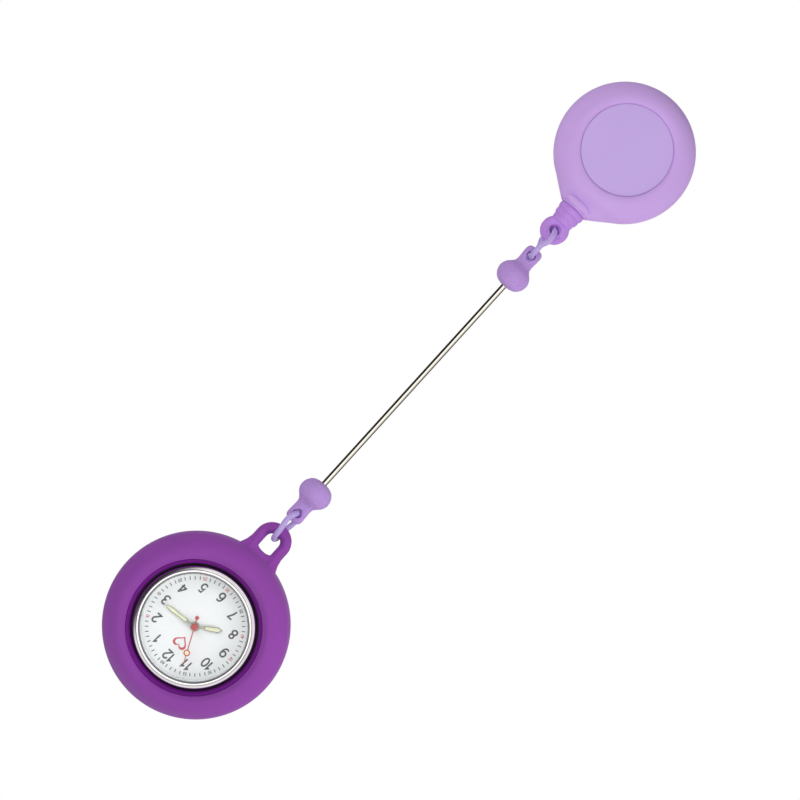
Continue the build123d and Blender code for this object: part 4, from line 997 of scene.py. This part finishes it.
# ---------------------------------------------------------------- clip behind the reel
for node, body, width in (("clip_base_jaw", "clip", 0.14), ("clip_lever_jaw", "clip_lever", 0.14),
                          ("clip_hinge_pin", "clip", 0.1), ("clip_swivel_rivet", "clip", 0.1)):
    put(rounded_copy(node, width), body, CLIP_STEEL, "clip_steel", node, sharp=35)

HINGE_Z = centre("clip_hinge_pin").z


def clip_spring():
    """Torsion spring: close turns round the hinge pin and a leg to each half of the clip."""
    turns = 6
    wire = 0.24
    radius = 1.2
    steps = turns * 28
    low_leg = Vector((-1.5, -3.15, HINGE_Z + 4.2))
    high_leg = Vector((1.5, 2.6, HINGE_Z + 4.2))
    start = math.atan2(4.2, -3.15) + math.pi / 2
    end = math.atan2(4.2, 2.6) - math.pi / 2
    sweep = TAU * turns + (end - start) % TAU
    path = []
    for k in range(steps + 1):
        angle = start + sweep * k / steps
        path.append(Vector((-1.5 + 3.0 * k / steps, radius * math.cos(angle), HINGE_Z + radius * math.sin(angle))))
    lead_in = [low_leg.lerp(path[0], k / 12) for k in range(12)]
    lead_out = [path[-1].lerp(high_leg, k / 12) for k in range(1, 13)]
    return tube("clip_coil", lead_in + path + lead_out, oval(wire, wire, 14), Vector((1, 0.001, 0.001)))


coil_spring = put(clip_spring(), None, SPRING_STEEL, "spring_steel", "clip_spring", sharp=180)
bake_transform(coil_spring)

# ---------------------------------------------------------------- cord between the outlet and the plug
lead_low, lead_high = span("cord_lead")
steps = 60
lead = [Vector((0, -CHAIN, lead_high.z + (lead_low.z - lead_high.z) * k / steps)) for k in range(steps + 1)]
cord = put(tube("cord_end", lead, oval(0.37, 0.37, 20), Vector((1, 0, 0))), None, CORD, "cord_fibre", "cord_lead",
           sharp=180)
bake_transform(cord)

# ---------------------------------------------------------------- finishes of the CAD parts that stay
DRESS = {
    CORD: ("cord_run", "cord_winding"),
    INNER: ("spool", "movement_holder"),
    SPRING_STEEL: ("power_spring", "spool_axle", "setting_lever"),
    STEEL: ("cord_crimp", "crown_tube", "crown", "winding_stem", "quartz_can", "battery_strap",
            "bridge_screws", "battery"),
    PLATE: ("main_plate", "train_bridge", "coil_core", "stator"),
    BRASS: ("fifth_wheel", "fourth_wheel", "third_wheel", "centre_wheel", "minute_wheel", "hour_wheel", "rotor"),
    RUBBER_AND_GAP_SHADE: ("case_back_gasket", "crown_gasket"),
    NYLON: ("crystal_gasket",),
    COPPER: ("coil",),
    BOARD: ("circuit_board",),
    CHIP: ("ic_chip",),
    DIAL_WHITE: ("dial",),
}
for material, nodes in DRESS.items():
    for node in nodes:
        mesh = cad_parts[node].data
        mesh.materials.clear()
        mesh.materials.append(material)


# ---------------------------------------------------------------- studio
def floor():
    """Pale round floor, lower than the watch hangs with the cord pulled right out."""
    level = -860.0
    reach = 600.0
    outline = ((0, 0), (reach - 2, 0), (reach, 0.6), (reach, 3), (reach - 2, 4), (0, 4))
    disc = upright("floor", [(r, level - drop) for r, drop in outline], 192)
    disc.data.transform(Matrix.Scale(MM, 4))
    paper = finish_of("floor_paper", linear(244, 243, 241), 0.8, tone=0.01, patch=20, grain=900, relief=0.05)
    shader = paper.node_tree.nodes["Principled BSDF"]
    shader.inputs["Emission Color"].default_value = (1, 1, 1, 1)
    shader.inputs["Emission Strength"].default_value = 0.4
    disc.data.materials.append(paper)


floor()


def studio_world():
    """White to the camera, soft and dim for matt surfaces, and white with dark bands for polished metal."""
    world = bpy.data.worlds.new("studio")
    scene.world = world
    world.use_nodes = True
    nodes = world.node_tree.nodes
    links = world.node_tree.links
    nodes.clear()
    out = nodes.new("ShaderNodeOutputWorld")
    path = nodes.new("ShaderNodeLightPath")
    way = nodes.new("ShaderNodeTexCoord")
    split = nodes.new("ShaderNodeSeparateXYZ")
    links.new(way.outputs["Generated"], split.inputs["Vector"])
    shades = []
    for axis, stops in (
        ("Y", ((0.0, 0.75), (0.2, 0.95), (0.52, 1.0), (0.58, 0.8), (0.64, 0.1), (0.86, 0.1), (0.94, 0.75),
               (1.0, 0.95))),
        ("X", ((0.0, 0.02), (0.2, 0.03), (0.25, 0.4), (0.31, 1.0), (0.945, 1.0), (0.965, 0.2), (1.0, 0.12))),
    ):
        level = nodes.new("ShaderNodeMapRange")
        level.inputs["From Min"].default_value = -1
        links.new(split.outputs[axis], level.inputs["Value"])
        bands = nodes.new("ShaderNodeValToRGB")
        elements = bands.color_ramp.elements
        while len(elements) < len(stops):
            elements.new(0.5)
        for element, (position, white) in zip(elements, stops):
            element.position = position
        for element, (position, white) in zip(elements, stops):
            element.color = (white, white, white, 1)
        links.new(level.outputs["Result"], bands.inputs["Fac"])
        shades.append(bands.outputs["Color"])
    product = nodes.new("ShaderNodeMix")
    product.data_type = "RGBA"
    product.blend_type = "MULTIPLY"
    product.inputs["Factor"].default_value = 1
    links.new(shades[0], product.inputs[6])
    links.new(shades[1], product.inputs[7])
    seen = nodes.new("ShaderNodeBackground")
    seen.inputs["Color"].default_value = (1, 1, 1, 1)
    soft = nodes.new("ShaderNodeBackground")
    soft.inputs["Color"].default_value = (1.0, 0.99, 1.0, 1)
    soft.inputs["Strength"].default_value = 0.42
    shiny = nodes.new("ShaderNodeBackground")
    links.new(product.outputs[2], shiny.inputs["Color"])
    light = soft.outputs["Background"]
    for ray, shown in (("Is Glossy Ray", shiny), ("Is Camera Ray", seen)):
        mix = nodes.new("ShaderNodeMixShader")
        links.new(path.outputs[ray], mix.inputs["Fac"])
        links.new(light, mix.inputs[1])
        links.new(shown.outputs["Background"], mix.inputs[2])
        light = mix.outputs["Shader"]
    links.new(light, out.inputs["Surface"])


studio_world()


def lamp(name, where, at, size, power, mirrored=True):
    """Square soft lamp at a place, turned to a point, both in metres; mirrored lets polished parts show it."""
    data = bpy.data.lights.new(name, "AREA")
    data.size = size
    data.energy = power
    obj = bpy.data.objects.new(name, data)
    scene.collection.objects.link(obj)
    obj.location = where
    obj.visible_glossy = mirrored
    obj.rotation_euler = (Vector(where) - Vector(at)).to_track_quat("Z", "Y").to_euler()


watch_at = Vector((0, -CHAIN * MM, WATCH_Z * MM))
reel_at = Vector((0, -CHAIN * MM, 0))
middle_at = (watch_at + reel_at) / 2
watch_key_at = watch_at + IMAGE_RIGHT * 0.22 - IMAGE_UP * 0.13 + TOWARD_VIEWER * 0.11
reel_key_at = reel_at - IMAGE_RIGHT * 0.24 + IMAGE_UP * 0.19 + TOWARD_VIEWER * 0.19
lamp("watch_key", watch_key_at, watch_at, 0.14, 0.36, False)
lamp("reel_key", reel_key_at, reel_at, 0.16, 0.4, False)
lamp("front_fill", middle_at + TOWARD_VIEWER * 0.6, middle_at, 0.5, 0.56)
lamp("back_fill", middle_at - TOWARD_VIEWER * 0.6, middle_at, 0.5, 0.5, False)
scene.view_settings.view_transform = "Standard"
